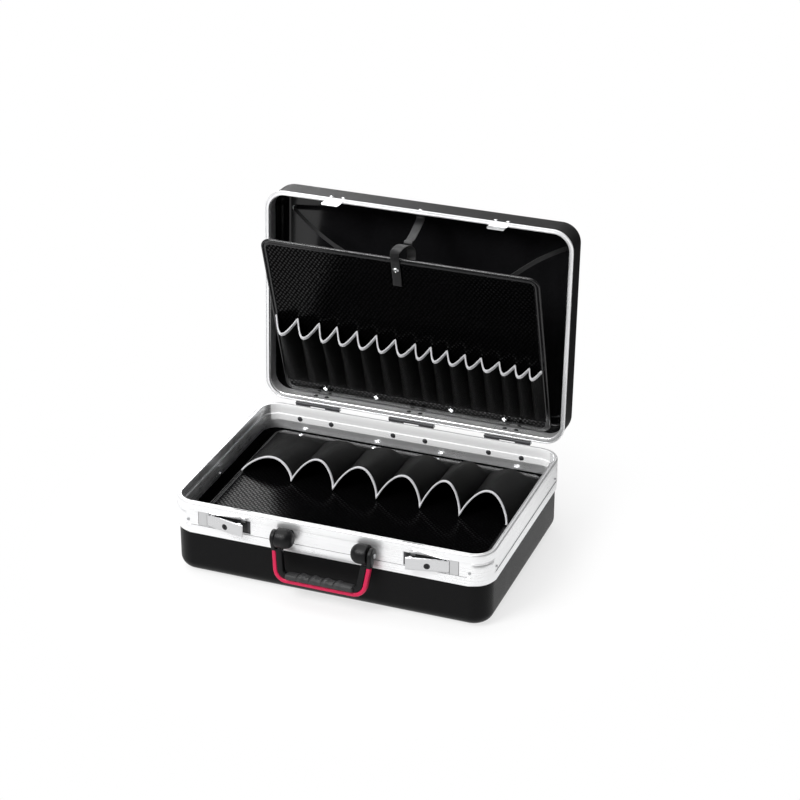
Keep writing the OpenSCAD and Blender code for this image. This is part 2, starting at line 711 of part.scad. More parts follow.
module hasp_rivet_place()
    both_sides()
        for (s = [-1, 1])
            translate([hasp_x + s * 9.5, -hd - 0.05, lid_z + 12])
                rotate([90, 0, 0]) children();
module hasp(side) color("#dfe1e3")
    lid_open_place()
        translate([side * hasp_x, -hd + 1.5, 0])
            difference() {
                rotate([90, 0, 0]) translate([0, 0, -1.2]) linear_extrude(1.2)
                    difference() {
                        union() {
                            translate([-13.5, hasp_tip + 3])
                                square([27, lid_z + 18 - hasp_tip - 3]);
                            translate([-10.5, hasp_tip]) square([21, 4]);
                            for (s = [-1, 1]) translate([s * 10.5, hasp_tip + 3])
                                circle(3);
                        }
                        translate([-4.5, hasp_tip + 3]) square([9, 3.4]);
                    }
                for (s = [-1, 1]) translate([s * 9.5, 0, lid_z + 12])
                    rotate([90, 0, 0]) cylinder(d = 3.2, h = 10, center = true);
            }
module hasp_left() hasp(-1);
module hasp_right() hasp(1);
module hasp_rivets() color("#dfe1e3")
    lid_open_place() hasp_rivet_place() domed_rivet(6, 3, 5.5);

module strap_rivet_place()
    translate([4, -hd - 0.05, lid_z + 9])
        rotate([90, 0, 0]) children();
module strap_rivet() color("#dfe1e3")
    lid_open_place() strap_rivet_place() domed_rivet(6, 3, 5.9);

// straps: flat bands that hang between the lid and its board
function mix3(a, b, t) = a + (b - a) * t;
strap_a = lid_pt([4, -hd + 7.9, lid_z + 9]);
strap_b = board_pt(15, lid_board_l + 23, -14);
module centre_strap() color("#19191b")
    band([for (t = [0:0.125:1]) mix3(strap_a, strap_b, t) + [0, 0, -9 * sin(180 * t)]],
        [1, 0, 0], 6.5, 0.8);
stay_l_a = lid_pt([-hw + 23, -hd + 42, lid_top - wall - 3]);
stay_l_b = board_pt(-board_w / 2 + 136.5, lid_board_l - 10, -board_t - 2.4);
stay_r_a = lid_pt([hw - 12, -hd + 32, lid_z + 30]);
stay_r_b = board_pt(board_w / 2 - 45.5, lid_board_l - 8, -board_t - 2.4);
module stay_left() color("#19191b")
    band([for (t = [0:0.1:1]) mix3(stay_l_a, stay_l_b, t) + [0, 0, -6 * sin(180 * t)]],
        [0.3, -0.25, 1], 5, 0.6);
module stay_right() color("#19191b")
    band([for (t = [0:0.1:1]) mix3(stay_r_a, stay_r_b, t) + [0, 0, 5 * sin(180 * t)]],
        [-0.3, -0.25, 1], 5, 0.6);
module stay_rivets() color("#b9bbbe")
    lid_open_place() {
        translate([-hw + 23, -hd + 42, lid_top - wall - 1.9]) cylinder(d = 7, h = 1.8);
        translate([hw - 10.9, -hd + 32, lid_z + 30])
            rotate([0, 90, 0]) cylinder(d = 7, h = 7.9);
    }

// ---------- lid board and pockets ----------
module lid_board() color("#121214")
    lid_board_place()
        translate([0, lid_board_l / 2, -board_t])
            linear_extrude(board_t) rrect(board_w, lid_board_l, board_r);
lid_snap_x = [-149, -65, 57, 142] * board_w / 431;
module lid_board_trim() color("#2a2a2c")
    lid_board_place()
        translate([0, lid_board_l / 2, 0.02])
            difference() {
                linear_extrude(1) rring(board_w, lid_board_l, board_r, stitch);
                translate([0, 0, 0.5]) linear_extrude(1)
                    rring(board_w - 5, lid_board_l - 5, board_r - 2.5, 3.4);
                snap_row(lid_snap_x, 12 - lid_board_l / 2)
                    translate([0, 0, -1]) cylinder(d = 8.2, h = 4);
                translate([-7.5, lid_board_l / 2 - stitch - 1, -1])
                    cube([15, stitch + 2, 4]);
            }
module lid_snaps() color("#d8dadd")
    lid_board_place()
        translate([0, lid_board_l / 2, 0.04])
            snap_row(lid_snap_x, 12 - lid_board_l / 2) snap();
// the strap's end: over the board's top edge in a high arch, and down its face
module strap_loop() color("#19191b")
    lid_board_place()
        band([for (p = [[-2, -54, 2.2], [-2, -19, 2.2], [-1.6, -2, 2.6], [-0.6, 9, 5],
                [1.6, 17, 6], [5, 21.4, 3.4], [9, 23, -2], [13, 21, -8], [16.4, 15.6, -12.4],
                [18.4, 7.6, -14], [19.2, -1, -11.6], [19.4, -8, -6.4], [19.4, -14, -4.1],
                [19.4, -20, -4.1]]) p + [0, lid_board_l, 0]],
            [1, 0, 0], 6.5, 0.8);
module strap_snap() color("#d8dadd")
    lid_board_place()
        translate([-2, lid_board_l - 19, 3.2]) snap(9);

// seams between the fifteen lid pockets, from left to right
lid_seams = [-210, -175, -140, -111.5, -79.5, -48.5, -18.5, 13, 37.5, 63, 91, 116, 144,
    168.5, 190.5, 209] * board_w / 431;
lid_n = 15;
lid_k = 6;
lid_cols = lid_n * lid_k + 1;
lid_rows = [0, 0.2, 0.5, 0.8, 1];
mouth_v = 152.5 * lid_board_l / 298;
mouth_drop = 28.4;
pocket_foot = 22;
cloth_w = 1.1;
// the row of mouths drops to the right, and the bulges get smaller
function across(c) = (col_x(lid_seams, lid_k, c) + 210) / 420;
function lid_mouth(c) = mouth_v - mouth_drop * across(c)
    - (12.5 - 11 * across(c)) * hoop(col_s(lid_n, lid_k, c), 0.95);
function lid_out(c, t) = let (s = col_s(lid_n, lid_k, c))
    (bulge - 9 * across(c)) * hoop(s, 1.1)
        * (t > 0.99 ? 0 : 1 - 0.72 * t);
function lid_cloth_pt(c, t, up, pinch = 0) = [col_x(lid_seams, lid_k, c) + pinch,
    lid_mouth(c) - 2.4 + (pocket_foot - lid_mouth(c) + 2.4) * t,
    cloth_w + up + lid_out(c, t)];
module lid_cloth(first, last) color("#1b1b1d")
    let (c0 = first * lid_k, c1 = last * lid_k)
        lid_board_place()
            sheet_solid(
                [for (c = [c1:-1:c0]) [for (t = lid_rows)
                    lid_cloth_pt(c, t, cloth_t, pinched(c, c0, c1))]],
                [for (c = [c1:-1:c0]) [for (t = lid_rows)
                    lid_cloth_pt(c, t, 0, pinched(c, c0, c1))]],
                c1 - c0 + 1, len(lid_rows));
module lid_pockets_left() lid_cloth(0, 5);
module lid_pockets_middle() lid_cloth(5, 10);
module lid_pockets_right() lid_cloth(10, lid_n);
module lid_piping() color("#c4c5c8")
    lid_board_place()
        band([for (c = [0:lid_cols - 1])
                [col_x(lid_seams, lid_k, c), lid_mouth(c), cloth_w + 1.4 + lid_out(c, 0)]],
            [0, 1, 0], 2, 1.2);

base_shell();
base_frame();
frame_gasket();
corner_pins();
side_studs();
hinge_base_leaves();
hinge_pins();
hinge_base_rivets();
latch_housing_left();
latch_housing_right();
latch_catches();
latch_pivot_pins();
handle_mount_left();
handle_mount_right();
handle_pins();
base_board();
base_board_trim();
base_pockets_left();
base_pockets_right();
base_piping();
base_snaps();
lid_shell();
lid_frame();
hinge_lid_leaves();
hinge_lid_rivets();
hasp_left();
hasp_right();
hasp_rivets();
strap_rivet();
centre_strap();
stay_left();
stay_right();
stay_rivets();
lid_board();
lid_board_trim();
lid_pockets_left();
lid_pockets_middle();
lid_pockets_right();
lid_piping();
lid_snaps();
strap_loop();
strap_snap();
latch_lever_left();
latch_lever_right();
lock_left();
lock_right();
handle_core();
handle_grip();
handle_inlay();
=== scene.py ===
"""Hard tool case, standing open with its lid up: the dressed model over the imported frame.

Every shape is worked out in millimetres, with the origin in the middle of the underside, the
width along X, the handle towards -Y and +Z up. Pieces of the lid are drawn shut and swung open.
Meshes are stored in metres.
"""

import logging
import math
from dataclasses import dataclass
from enum import Enum
from typing import Callable, Iterable, Sequence

import bpy
import numpy as np
from mathutils import Matrix, Vector


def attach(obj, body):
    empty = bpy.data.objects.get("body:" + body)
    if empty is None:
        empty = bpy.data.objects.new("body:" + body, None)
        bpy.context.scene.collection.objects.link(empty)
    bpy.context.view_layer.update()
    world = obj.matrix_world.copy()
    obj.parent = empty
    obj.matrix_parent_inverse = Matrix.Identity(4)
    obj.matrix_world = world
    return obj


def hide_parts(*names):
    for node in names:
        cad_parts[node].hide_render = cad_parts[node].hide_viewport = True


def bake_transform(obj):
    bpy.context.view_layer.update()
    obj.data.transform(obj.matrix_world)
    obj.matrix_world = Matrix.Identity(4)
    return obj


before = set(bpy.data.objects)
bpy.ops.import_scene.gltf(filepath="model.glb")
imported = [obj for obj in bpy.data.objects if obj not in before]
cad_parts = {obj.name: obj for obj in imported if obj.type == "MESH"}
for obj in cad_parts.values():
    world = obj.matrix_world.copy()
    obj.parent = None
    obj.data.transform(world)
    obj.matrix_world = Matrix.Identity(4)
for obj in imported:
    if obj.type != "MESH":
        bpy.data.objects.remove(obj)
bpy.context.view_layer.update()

LOG = logging.getLogger("tool_case")
MM = 0.001
ALONG_X = np.array([1.0, 0.0, 0.0])
Array = np.ndarray

CASE_WIDTH, CASE_DEPTH, CASE_CORNER = 480.0, 334.0, 30.0
HINGE_Y, HINGE_Z, LID_OPEN = 172.4, 120.0, 93.0
BASE_BOARD_Z = 74.5
LID_BOARD_Y, LID_BOARD_Z, LID_BOARD_LEAN = 194.977, 130.433, 16.8
PIVOT_Y, PIVOT_Z, HANDLE_TILT = -182.0, 95.5, 11.0


# ---------------------------------------------------------------- numbers and curves
def smoothstep(low: float, high: float, value: Array) -> Array:
    """Rise from 0 at low to 1 at high along 3t^2 - 2t^3.

    Args:
        low: where the rise starts.
        high: where it ends.
        value: the numbers to be turned into shares.

    Returns:
        The shares, the same shape as value.
    """
    share = np.clip((value - low) / (high - low), 0.0, 1.0)
    return share * share * (3.0 - 2.0 * share)


def hoop(share: Array, power: float) -> Array:
    """Height of a pocket's arch, sin(pi s)^power, 0 at its seams and 1 at its crown."""
    return np.power(np.clip(np.sin(np.pi * share), 0.0, 1.0), power)


def unit(vectors: Array) -> Array:
    """Vectors divided by their lengths."""
    return vectors / np.maximum(np.linalg.norm(vectors, axis=-1, keepdims=True), 1e-9)


def smooth_path(knots: Sequence[Sequence[float]], count: int) -> Array:
    """Carry a smooth curve through points, as a Catmull-Rom spline.

    Between knots b and c, with neighbours a and d, the point at share t is half of
    2b + (c - a) t + (2a - 5b + 4c - d) t^2 + (3b - a - 3c + d) t^3.

    Args:
        knots: the points that it passes, any number of dimensions.
        count: how many points to return.

    Returns:
        Points along the curve, one row each.
    """
    held = np.asarray(knots, float)
    ends = np.vstack([2 * held[0] - held[1], held, 2 * held[-1] - held[-2]])
    run = np.linspace(0, len(held) - 1 - 1e-9, count)
    start = run.astype(int)
    t = (run - start)[:, None]
    a, b, c, d = (ends[start + k] for k in range(4))
    return 0.5 * (2 * b + (c - a) * t + (2 * a - 5 * b + 4 * c - d) * t**2 + (3 * b - a - 3 * c + d) * t**3)


@dataclass(frozen=True)
class Swing:
    """A turn about a line along X, which takes a shut piece to its open place."""

    y: float
    z: float
    degrees: float

    def __call__(self, points: Array) -> Array:
        """Turn points: y' = y0 + dy cos + dz sin, z' = z0 - dy sin + dz cos.

        Args:
            points: (x, y, z) in the last axis, where they lie with the lid shut.

        Returns:
            The same points with the lid open.
        """
        turn = math.radians(self.degrees)
        dy, dz = points[..., 1] - self.y, points[..., 2] - self.z
        return np.stack([
            points[..., 0],
            self.y + dy * math.cos(turn) + dz * math.sin(turn),
            self.z - dy * math.sin(turn) + dz * math.cos(turn),
        ], axis=-1)


@dataclass(frozen=True)
class Plane:
    """A plane with X across, v up along it and w out of its face."""

    y: float
    z: float
    v_axis: tuple[float, float]
    w_axis: tuple[float, float]

    def __call__(self, points: Array) -> Array:
        """Place points: the foot, plus v along one axis and w along the other.

        Args:
            points: (x, v, w) in the last axis.

        Returns:
            The same points as (x, y, z).
        """
        v, w = points[..., 1], points[..., 2]
        return np.stack([
            points[..., 0],
            self.y + v * self.v_axis[0] + w * self.w_axis[0],
            self.z + v * self.v_axis[1] + w * self.w_axis[1],
        ], axis=-1)


def leaning(y: float, z: float, degrees: float) -> Plane:
    """Plane that stands on (y, z) and leans towards -Y by an angle from upright."""
    s, c = math.sin(math.radians(degrees)), math.cos(math.radians(degrees))
    return Plane(y, z, (-s, c), (-c, -s))


def hanging(y: float, z: float, degrees: float) -> Plane:
    """Plane that hangs from (y, z), v downwards, tilted out towards -Y by an angle."""
    s, c = math.sin(math.radians(degrees)), math.cos(math.radians(degrees))
    return Plane(y, z, (-s, -c), (c, -s))


def stay_put(points: Array) -> Array:
    """Leave points where they are."""
    return points


LID = Swing(HINGE_Y, HINGE_Z, LID_OPEN)
BASE_BOARD = Plane(0.0, BASE_BOARD_Z, (1.0, 0.0), (0.0, 1.0))
LID_BOARD = leaning(LID_BOARD_Y, LID_BOARD_Z, LID_BOARD_LEAN)
HANDLE = hanging(PIVOT_Y, PIVOT_Z, HANDLE_TILT)


# ---------------------------------------------------------------- meshes
class Form:
    """Gathers grids and caps in millimetres and turns them into one mesh object."""

    def __init__(self, name: str) -> None:
        """Start an empty form.

        Args:
            name: of the piece that it becomes.
        """
        self.name = name
        self._points: list[Array] = []
        self._loops: list[Array] = []
        self._sizes: list[Array] = []
        self._uv: list[Array] = []
        self._tones: list[Array] = []
        self._count = 0

    def grid(
        self,
        points: Array,
        wrap: tuple[bool, bool] = (False, False),
        flip: bool = False,
        tones: Array | int = 0,
        uv: Array | None = None,
    ) -> Array:
        """Add a grid of points, faces turned by the right-hand rule from rows to columns.

        Args:
            points: rows x columns x 3.
            wrap: whether the rows and the columns close on themselves.
            flip: turn the faces over.
            tones: material number, one for all or one for each column of faces.
            uv: map in millimetres, one more row or column where wrapped; by default the
                mean running lengths along rows and columns.

        Returns:
            The number of each point in the mesh, rows x columns.
        """
        rows, cols = points.shape[:2]
        r_count, c_count = rows - (not wrap[0]), cols - (not wrap[1])
        r, c = np.meshgrid(np.arange(r_count), np.arange(c_count), indexing="ij")
        corners = [(r, c), (r + 1, c), (r + 1, c + 1), (r, c + 1)]
        if flip:
            corners.reverse()
        ids = self._count + np.arange(rows * cols).reshape(rows, cols)
        if uv is None:
            uv = self._running(points, wrap)
        self._points.append(points.reshape(-1, 3))
        self._loops.append(np.stack([ids[a % rows, b % cols] for a, b in corners], -1).ravel())
        self._uv.append(np.stack([uv[a, b] for a, b in corners], -2).reshape(-1, 2))
        self._sizes.append(np.full(r_count * c_count, 4))
        self._tones.append(np.broadcast_to(tones, (r_count, c_count)).ravel())
        self._count += rows * cols
        return ids

    @staticmethod
    def _running(points: Array, wrap: tuple[bool, bool]) -> Array:
        """Map a grid by its mean running lengths.

        Args:
            points: rows x columns x 3.
            wrap: whether the rows and the columns close on themselves.

        Returns:
            The lengths along rows and columns, one more row or column where wrapped.
        """
        closed = points
        if wrap[0]:
            closed = np.concatenate([closed, closed[:1]], axis=0)
        if wrap[1]:
            closed = np.concatenate([closed, closed[:, :1]], axis=1)
        down = np.linalg.norm(np.diff(closed, axis=0), axis=-1).mean(axis=1)
        over = np.linalg.norm(np.diff(closed, axis=1), axis=-1).mean(axis=0)
        u, v = np.meshgrid(np.r_[0, np.cumsum(down)], np.r_[0, np.cumsum(over)], indexing="ij")
        return np.stack([u, v], axis=-1)

    def cap(self, ids: Array, flat: Array, flip: bool = False, tone: int = 0) -> None:
        """Close a loop of points with one flat face.

        Args:
            ids: the points' numbers, in order.
            flat: their places in the cap's own plane, in millimetres, for the map.
            flip: turn the face over.
            tone: material number.
        """
        if flip:
            ids, flat = ids[::-1], flat[::-1]
        self._loops.append(ids.ravel())
        self._uv.append(flat)
        self._sizes.append(np.array([len(ids)]))
        self._tones.append(np.array([tone]))

    def build(
        self,
        finishes: Sequence["Finish"],
        place: Callable[[Array], Array] = stay_put,
        crease: float = 32.0,
    ) -> bpy.types.Object:
        """Make the mesh object.

        Args:
            finishes: one for each material number.
            place: takes the points to where they belong.
            crease: faces that meet at more than this many degrees stay sharp.

        Returns:
            The new object, at the origin.
        """
        points = place(np.concatenate(self._points)) * MM
        loops = np.concatenate(self._loops).astype(np.int32)
        sizes = np.concatenate(self._sizes)
        mesh = bpy.data.meshes.new(self.name)
        mesh.vertices.add(len(points))
        mesh.vertices.foreach_set("co", points.astype(np.float32).ravel())
        mesh.loops.add(len(loops))
        mesh.loops.foreach_set("vertex_index", loops)
        mesh.polygons.add(len(sizes))
        mesh.polygons.foreach_set("loop_start", np.r_[0, np.cumsum(sizes)[:-1]].astype(np.int32))
        mesh.polygons.foreach_set("material_index", np.concatenate(self._tones).astype(np.int32))
        layer = mesh.uv_layers.new(name="Run")
        layer.data.foreach_set("uv", np.concatenate(self._uv).astype(np.float32).ravel())
        mesh.update(calc_edges=True)
        mesh.validate()
        mesh.polygons.foreach_set("use_smooth", np.ones(len(mesh.polygons), bool))
        mesh.set_sharp_from_angle(angle=math.radians(crease))
        for finish in finishes:
            mesh.materials.append(finish.material())
        piece = bpy.data.objects.new(self.name, mesh)
        bpy.context.scene.collection.objects.link(piece)
        return piece


@dataclass(frozen=True)
class Ring:
    """A closed outline seen from above: points, outward normals and bend weights."""

    points: Array
    normals: Array
    bend: Array

    @staticmethod
    def rounded(width: float, depth: float, radius: float, arc: int = 20, side: int = 14) -> "Ring":
        """Rounded rectangle about the origin, anticlockwise.

        A point on a corner is the corner's centre plus radius times its normal. The bend
        weight is 0 on the sides and 1 round a corner, with a soft change between.

        Args:
            width: along X.
            depth: along Y.
            radius: of the corners.
            arc: steps round each corner.
            side: steps along each side.

        Returns:
            The outline.
        """
        turn = np.linspace(0, 1, arc + 1)
        points, normals, bend = [], [], []
        for quarter in range(4):
            angle = math.pi / 2 * (quarter + 1 + turn)
            normal = np.stack([np.cos(angle), np.sin(angle)], axis=-1)
            sx, sy = (-1, -1, 1, 1)[quarter], (1, -1, -1, 1)[quarter]
            centre = np.array([sx * (width / 2 - radius), sy * (depth / 2 - radius)])
            points.append(centre + radius * normal)
            normals.append(normal)
            bend.append(smoothstep(0.0, 0.22, turn) * smoothstep(1.0, 0.78, turn))
            nsx, nsy = (-1, 1, 1, -1)[quarter], (-1, -1, 1, 1)[quarter]
            after = np.array([nsx * (width / 2 - radius), nsy * (depth / 2 - radius)])
            share = np.linspace(0, 1, side + 1)[1:-1, None]
            start, end = points[-1][-1], after + radius * normal[-1]
            points.append(start + (end - start) * share)
            normals.append(np.repeat(normal[-1:], side - 1, axis=0))
            bend.append(np.zeros(side - 1))
        return Ring(np.concatenate(points), np.concatenate(normals), np.concatenate(bend))

    @staticmethod
    def through(points: Array) -> "Ring":
        """Outline through given points, with normals square to the line between neighbours.

        Args:
            points: n x 2, anticlockwise.

        Returns:
            The outline, its bend weights all 0.
        """
        along = np.roll(points, -1, axis=0) - np.roll(points, 1, axis=0)
        normals = unit(np.stack([along[:, 1], -along[:, 0]], axis=-1))
        return Ring(points, normals, np.zeros(len(points)))

    def sweep(self, profile: Array, centre: tuple[float, float] = (0.0, 0.0)) -> Array:
        """Carry a section round the outline: point + out * normal, at its height.

        Args:
            profile: (out, height) pairs, or one such list for each point of the outline.
            centre: where the outline's middle lies.

        Returns:
            Outline points x section points x 3.
        """
        section = np.broadcast_to(profile, (len(self.points),) + profile.shape[-2:])
        flat = self.points[:, None] + section[..., :1] * self.normals[:, None] + np.array(centre)
        return np.concatenate([flat, section[..., 1:]], axis=-1)


def quarter(radius: float, start: float, end: float, steps: int, out: float, height: float) -> Array:
    """Arc of a section: centre (out, height) plus radius at angles from start to end."""
    angle = np.radians(np.linspace(start, end, steps))
    return np.stack([out + radius * np.cos(angle), height + radius * np.sin(angle)], axis=-1)


def carried(path: Array, side: Array, section: Array) -> Array:
    """Carry a section along a path.

    At each point the section's first axis is the side vector made square to the path, and
    its second axis is the path's direction crossed with it.

    Args:
        path: points, n x 3.
        side: one vector, or n of them.
        section: (a, b) pairs, m x 2, or n x m x 2 where it changes along the path.

    Returns:
        n x m x 3 points.
    """
    along = unit(np.gradient(path, axis=0))
    across = np.broadcast_to(side, path.shape)
    across = unit(across - along * (across * along).sum(-1, keepdims=True))
    up = np.cross(along, across)
    shape = np.broadcast_to(section, (len(path),) + section.shape[-2:])
    return path[:, None] + shape[..., :1] * across[:, None] + shape[..., 1:] * up[:, None]


def capped(
    form: Form,
    rings: Array,
    flat: Array,
    flip: bool = False,
    tones: Array | int = 0,
    last: int = 0,
) -> None:
    """Add a surface that runs round an outline, and close its first and last columns.

    Args:
        form: what it is added to.
        rings: outline points x section points x 3.
        flat: the outline in the plane of its caps, for the map.
        flip: turn the faces over.
        tones: material number of each column of faces.
        last: material number of the last cap.
    """
    ids = form.grid(rings, wrap=(True, False), flip=flip, tones=tones)
    form.cap(ids[:, 0], flat, flip=not flip)
    form.cap(ids[:, -1], flat, flip=flip, tone=last)


def tube(form: Form, rings: Array, flip: bool = True) -> None:
    """Add a tube of closed rings and cap both of its ends.

    Args:
        form: what it is added to.
        rings: rings x points x 3.
        flip: whether the rings run clockwise, seen against the tube's direction.
    """
    ids = form.grid(rings, wrap=(False, True), flip=flip)
    plain = np.zeros((ids.shape[1], 2))
    form.cap(ids[0], plain, flip=not flip)
    form.cap(ids[-1], plain, flip=flip)


def rounded_section(half_a: float, half_b: float, power: float = 4.0, steps: int = 16) -> Array:
    """Section |a/A|^p + |b/B|^p = 1, anticlockwise: A |cos|^(2/p), B |sin|^(2/p).

    Args:
        half_a: half its size along its first axis, A.
        half_b: half its size along its second axis, B.
        power: p, from 2 for an ellipse to a high number for a square.
        steps: how many points it has.

    Returns:
        (a, b) pairs.
    """
    angle = np.linspace(0, 2 * np.pi, steps, endpoint=False)
    c, s = np.cos(angle), np.sin(angle)
    return np.stack([
        half_a * np.sign(c) * np.abs(c) ** (2 / power),
        half_b * np.sign(s) * np.abs(s) ** (2 / power),
    ], axis=-1)


def cut_boxes(piece: bpy.types.Object, boxes: Iterable[tuple[float, ...]], crease: float) -> None:
    """Cut boxes out of a piece.

    Args:
        piece: what they are cut from.
        boxes: each (x0, y0, z0, x1, y1, z1) in millimetres.
        crease: faces that meet at more than this many degrees stay sharp.
    """
    tool = Form("cutter")
    square = np.array([[-0.5, -0.5], [0.5, -0.5], [0.5, 0.5], [-0.5, 0.5]])
    for x0, y0, z0, x1, y1, z1 in boxes:
        flat = square * [x1 - x0, y1 - y0] + [(x0 + x1) / 2, (y0 + y1) / 2]
        capped(tool, np.stack([np.c_[flat, np.full(4, z)] for z in (z0, z1)], axis=1), flat)
    cutter = tool.build([])
    change = piece.modifiers.new("cut", "BOOLEAN")
    change.operation, change.solver, change.object = "DIFFERENCE", "EXACT", cutter
    settled = piece.evaluated_get(bpy.context.evaluated_depsgraph_get())
    mesh = bpy.data.meshes.new_from_object(settled)
    piece.modifiers.clear()
    old, piece.data = piece.data, mesh
    mesh.name = piece.name
    bpy.data.meshes.remove(old)
    bpy.data.objects.remove(cutter)
    mesh.set_sharp_from_angle(angle=math.radians(crease))


def move_mesh(piece: bpy.types.Object, place: Callable[[Array], Array]) -> None:
    """Move a mesh's own points.

    Args:
        piece: whose mesh is changed.
        place: takes the points, in millimetres, to where they belong.
    """
    points = np.empty(len(piece.data.vertices) * 3, np.float32)
    piece.data.vertices.foreach_get("co", points)
    moved = place(points.reshape(-1, 3).astype(float) / MM) * MM
    piece.data.vertices.foreach_set("co", moved.astype(np.float32).ravel())
    piece.data.update()


def hand_over(
    piece: bpy.types.Object,
    body: str | None,
    stands_for: Sequence[str] = (),
) -> None:
    """Let a piece ride on a body and the nodes that it stands for.

    Args:
        piece: the finished piece.
        body: the body that carries it, or None for a piece that is blended between two.
        stands_for: CAD nodes that it hides.
    """
    if body is not None:
        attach(piece, body)
    if stands_for:
        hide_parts(*stands_for)
    LOG.info("%s on %s: %d faces", piece.name, body, len(piece.data.polygons))


# ---------------------------------------------------------------- shader bench
class Signal:
    """The output of a node, on which sums can be written."""

    def __init__(self, bench: "Bench", socket: bpy.types.NodeSocket) -> None:
        """Wrap a socket of the bench's tree."""
        self.bench, self.socket = bench, socket

    def _sum(self, operation: str, *terms: "Signal | float") -> "Signal":
        """Add one Math node over the given terms."""
        return self.bench.node("Math", {"operation": operation}, dict(enumerate(terms)))[0]

    def __add__(self, other: "Signal | float") -> "Signal":
        """Sum."""
        return self._sum("ADD", self, other)

    def __sub__(self, other: "Signal | float") -> "Signal":
        """Difference."""
        return self._sum("SUBTRACT", self, other)

    def __rsub__(self, other: float) -> "Signal":
        """Difference from a number."""
        return self._sum("SUBTRACT", other, self)

    def __mul__(self, other: "Signal | float") -> "Signal":
        """Product."""
        return self._sum("MULTIPLY", self, other)

    __radd__ = __add__
    __rmul__ = __mul__

    def sine(self) -> "Signal":
        """Sine of the value, in radians."""
        return self._sum("SINE", self)

    def lowest(self, other: "Signal | float") -> "Signal":
        """The lower of two values."""
        return self._sum("MINIMUM", self, other)

    def step(self, low: float, high: float, start: float = 0.0, end: float = 1.0) -> "Signal":
        """Smooth change from start at low to end at high."""
        ends = {0: self, 1: low, 2: high, 3: start, 4: end}
        return self.bench.node("MapRange", {"interpolation_type": "SMOOTHSTEP"}, ends)[0]


class Outputs:
    """The outputs of one node, by name or number."""

    def __init__(self, bench: "Bench", node: bpy.types.Node) -> None:
        """Keep the node and its bench."""
        self._bench, self._node = bench, node

    def __getitem__(self, key: str | int) -> Signal:
        """One output as a signal."""
        return Signal(self._bench, self._node.outputs[key])


class Bench:
    """The emptied node tree of a material or a world."""

    def __init__(self, owner: bpy.types.Material | bpy.types.World) -> None:
        """Take a tree and empty it.

        Args:
            owner: the material or world whose tree it is.
        """
        owner.use_nodes = True
        self.tree = owner.node_tree
        self.tree.nodes.clear()

    def node(
        self,
        kind: str,
        settings: dict[str, object] | None = None,
        inputs: dict[str | int, object] | None = None,
    ) -> Outputs:
        """Add a node.

        Args:
            kind: its type, without the leading ShaderNode.
            settings: its own settings, set first.
            inputs: its sockets, each a value or a signal.

        Returns:
            Its outputs.
        """
        made = self.tree.nodes.new("ShaderNode" + kind)
        for key, value in (settings or {}).items():
            setattr(made, key, value)
        for key, value in (inputs or {}).items():
            self.feed(made.inputs[key], value)
        return Outputs(self, made)

    def feed(self, socket: bpy.types.NodeSocket, value: object) -> None:
        """Link a signal to a socket, or set the socket's own value.

        Args:
            socket: of any node in the tree.
            value: a signal, a number, a vector, or a colour with or without its alpha.
        """
        if isinstance(value, Signal):
            self.tree.links.new(value.socket, socket)
        elif isinstance(value, tuple) and len(value) == 3 and socket.type == "RGBA":
            socket.default_value = (*value, 1.0)
        else:
            socket.default_value = value


class MaterialBench(Bench):
    """A new material's node tree, with its shader."""

    def __init__(self, name: str) -> None:
        """Make a material with one Principled shader.

        Args:
            name: of the material.
        """
        self.material = bpy.data.materials.new(name)
        super().__init__(self.material)
        self.shader = self.tree.nodes.new("ShaderNodeBsdfPrincipled")
        self.end = self.tree.nodes.new("ShaderNodeOutputMaterial")
        self.tree.links.new(self.shader.outputs[0], self.end.inputs["Surface"])

    def set(self, **inputs: object) -> None:
        """Set or link the shader's sockets, underscores in the names for spaces."""
        for key, value in inputs.items():
            self.feed(self.shader.inputs[key.replace("_", " ")], value)

    def spot(self, stretch: tuple[float, float, float] = (1, 1, 1), turn: float = 0.0) -> Signal:
        """Object coordinates in millimetres.

        Args:
            stretch: a factor for each axis.
            turn: about Z, in radians.

        Returns:
            The place on the object.
        """
        at = self.node("TexCoord")["Object"]
        scale = tuple(1000.0 * value for value in stretch)
        return self.node("Mapping", {}, {"Vector": at, "Scale": scale, "Rotation": (0, 0, turn)})[0]

    def run(self, stretch: tuple[float, float, float] = (1, 1, 1), turn: float = 0.0) -> Signal:
        """The piece's own map in millimetres, stretched and turned."""
        at = self.node("UVMap", {"uv_map": "Run"})[0]
        return self.node("Mapping", {}, {"Vector": at, "Scale": stretch, "Rotation": (0, 0, turn)})[0]

    def noise(self, at: Signal, scale: float, detail: float = 4.0, rough: float = 0.5) -> Signal:
        """Soft noise about 0.5, its grain 1/scale millimetres."""
        inputs = {"Vector": at, "Scale": scale, "Detail": detail, "Roughness": rough}
        return self.node("TexNoise", {}, inputs)[0]

    def cells(self, at: Signal, scale: float, random: float, flat: bool = False) -> Signal:
        """Distance to the middle of cells 1/scale millimetres wide."""
        shape = {"voronoi_dimensions": "2D" if flat else "3D"}
        return self.node("TexVoronoi", shape, {"Vector": at, "Scale": scale, "Randomness": random})[0]

    def tint(self, share: Signal, low: tuple[float, ...], high: tuple[float, ...]) -> Signal:
        """Mix two colours.

        Args:
            share: 0 for the first and 1 for the second.
            low: the first colour.
            high: the second colour.

        Returns:
            The colour between them.
        """
        made = self.tree.nodes.new("ShaderNodeMix")
        made.data_type = "RGBA"
        self.feed(made.inputs[0], share)
        self.feed(made.inputs[6], low)
        self.feed(made.inputs[7], high)
        return Signal(self, made.outputs[2])

    def bump(self, height: Signal, depth: float, strength: float = 1.0) -> None:
        """Let a height from 0 to 1, depth millimetres high, shape the surface."""
        made = self.node("Bump", {}, {"Strength": strength, "Distance": depth * MM, "Height": height})
        self.set(Normal=made[0])


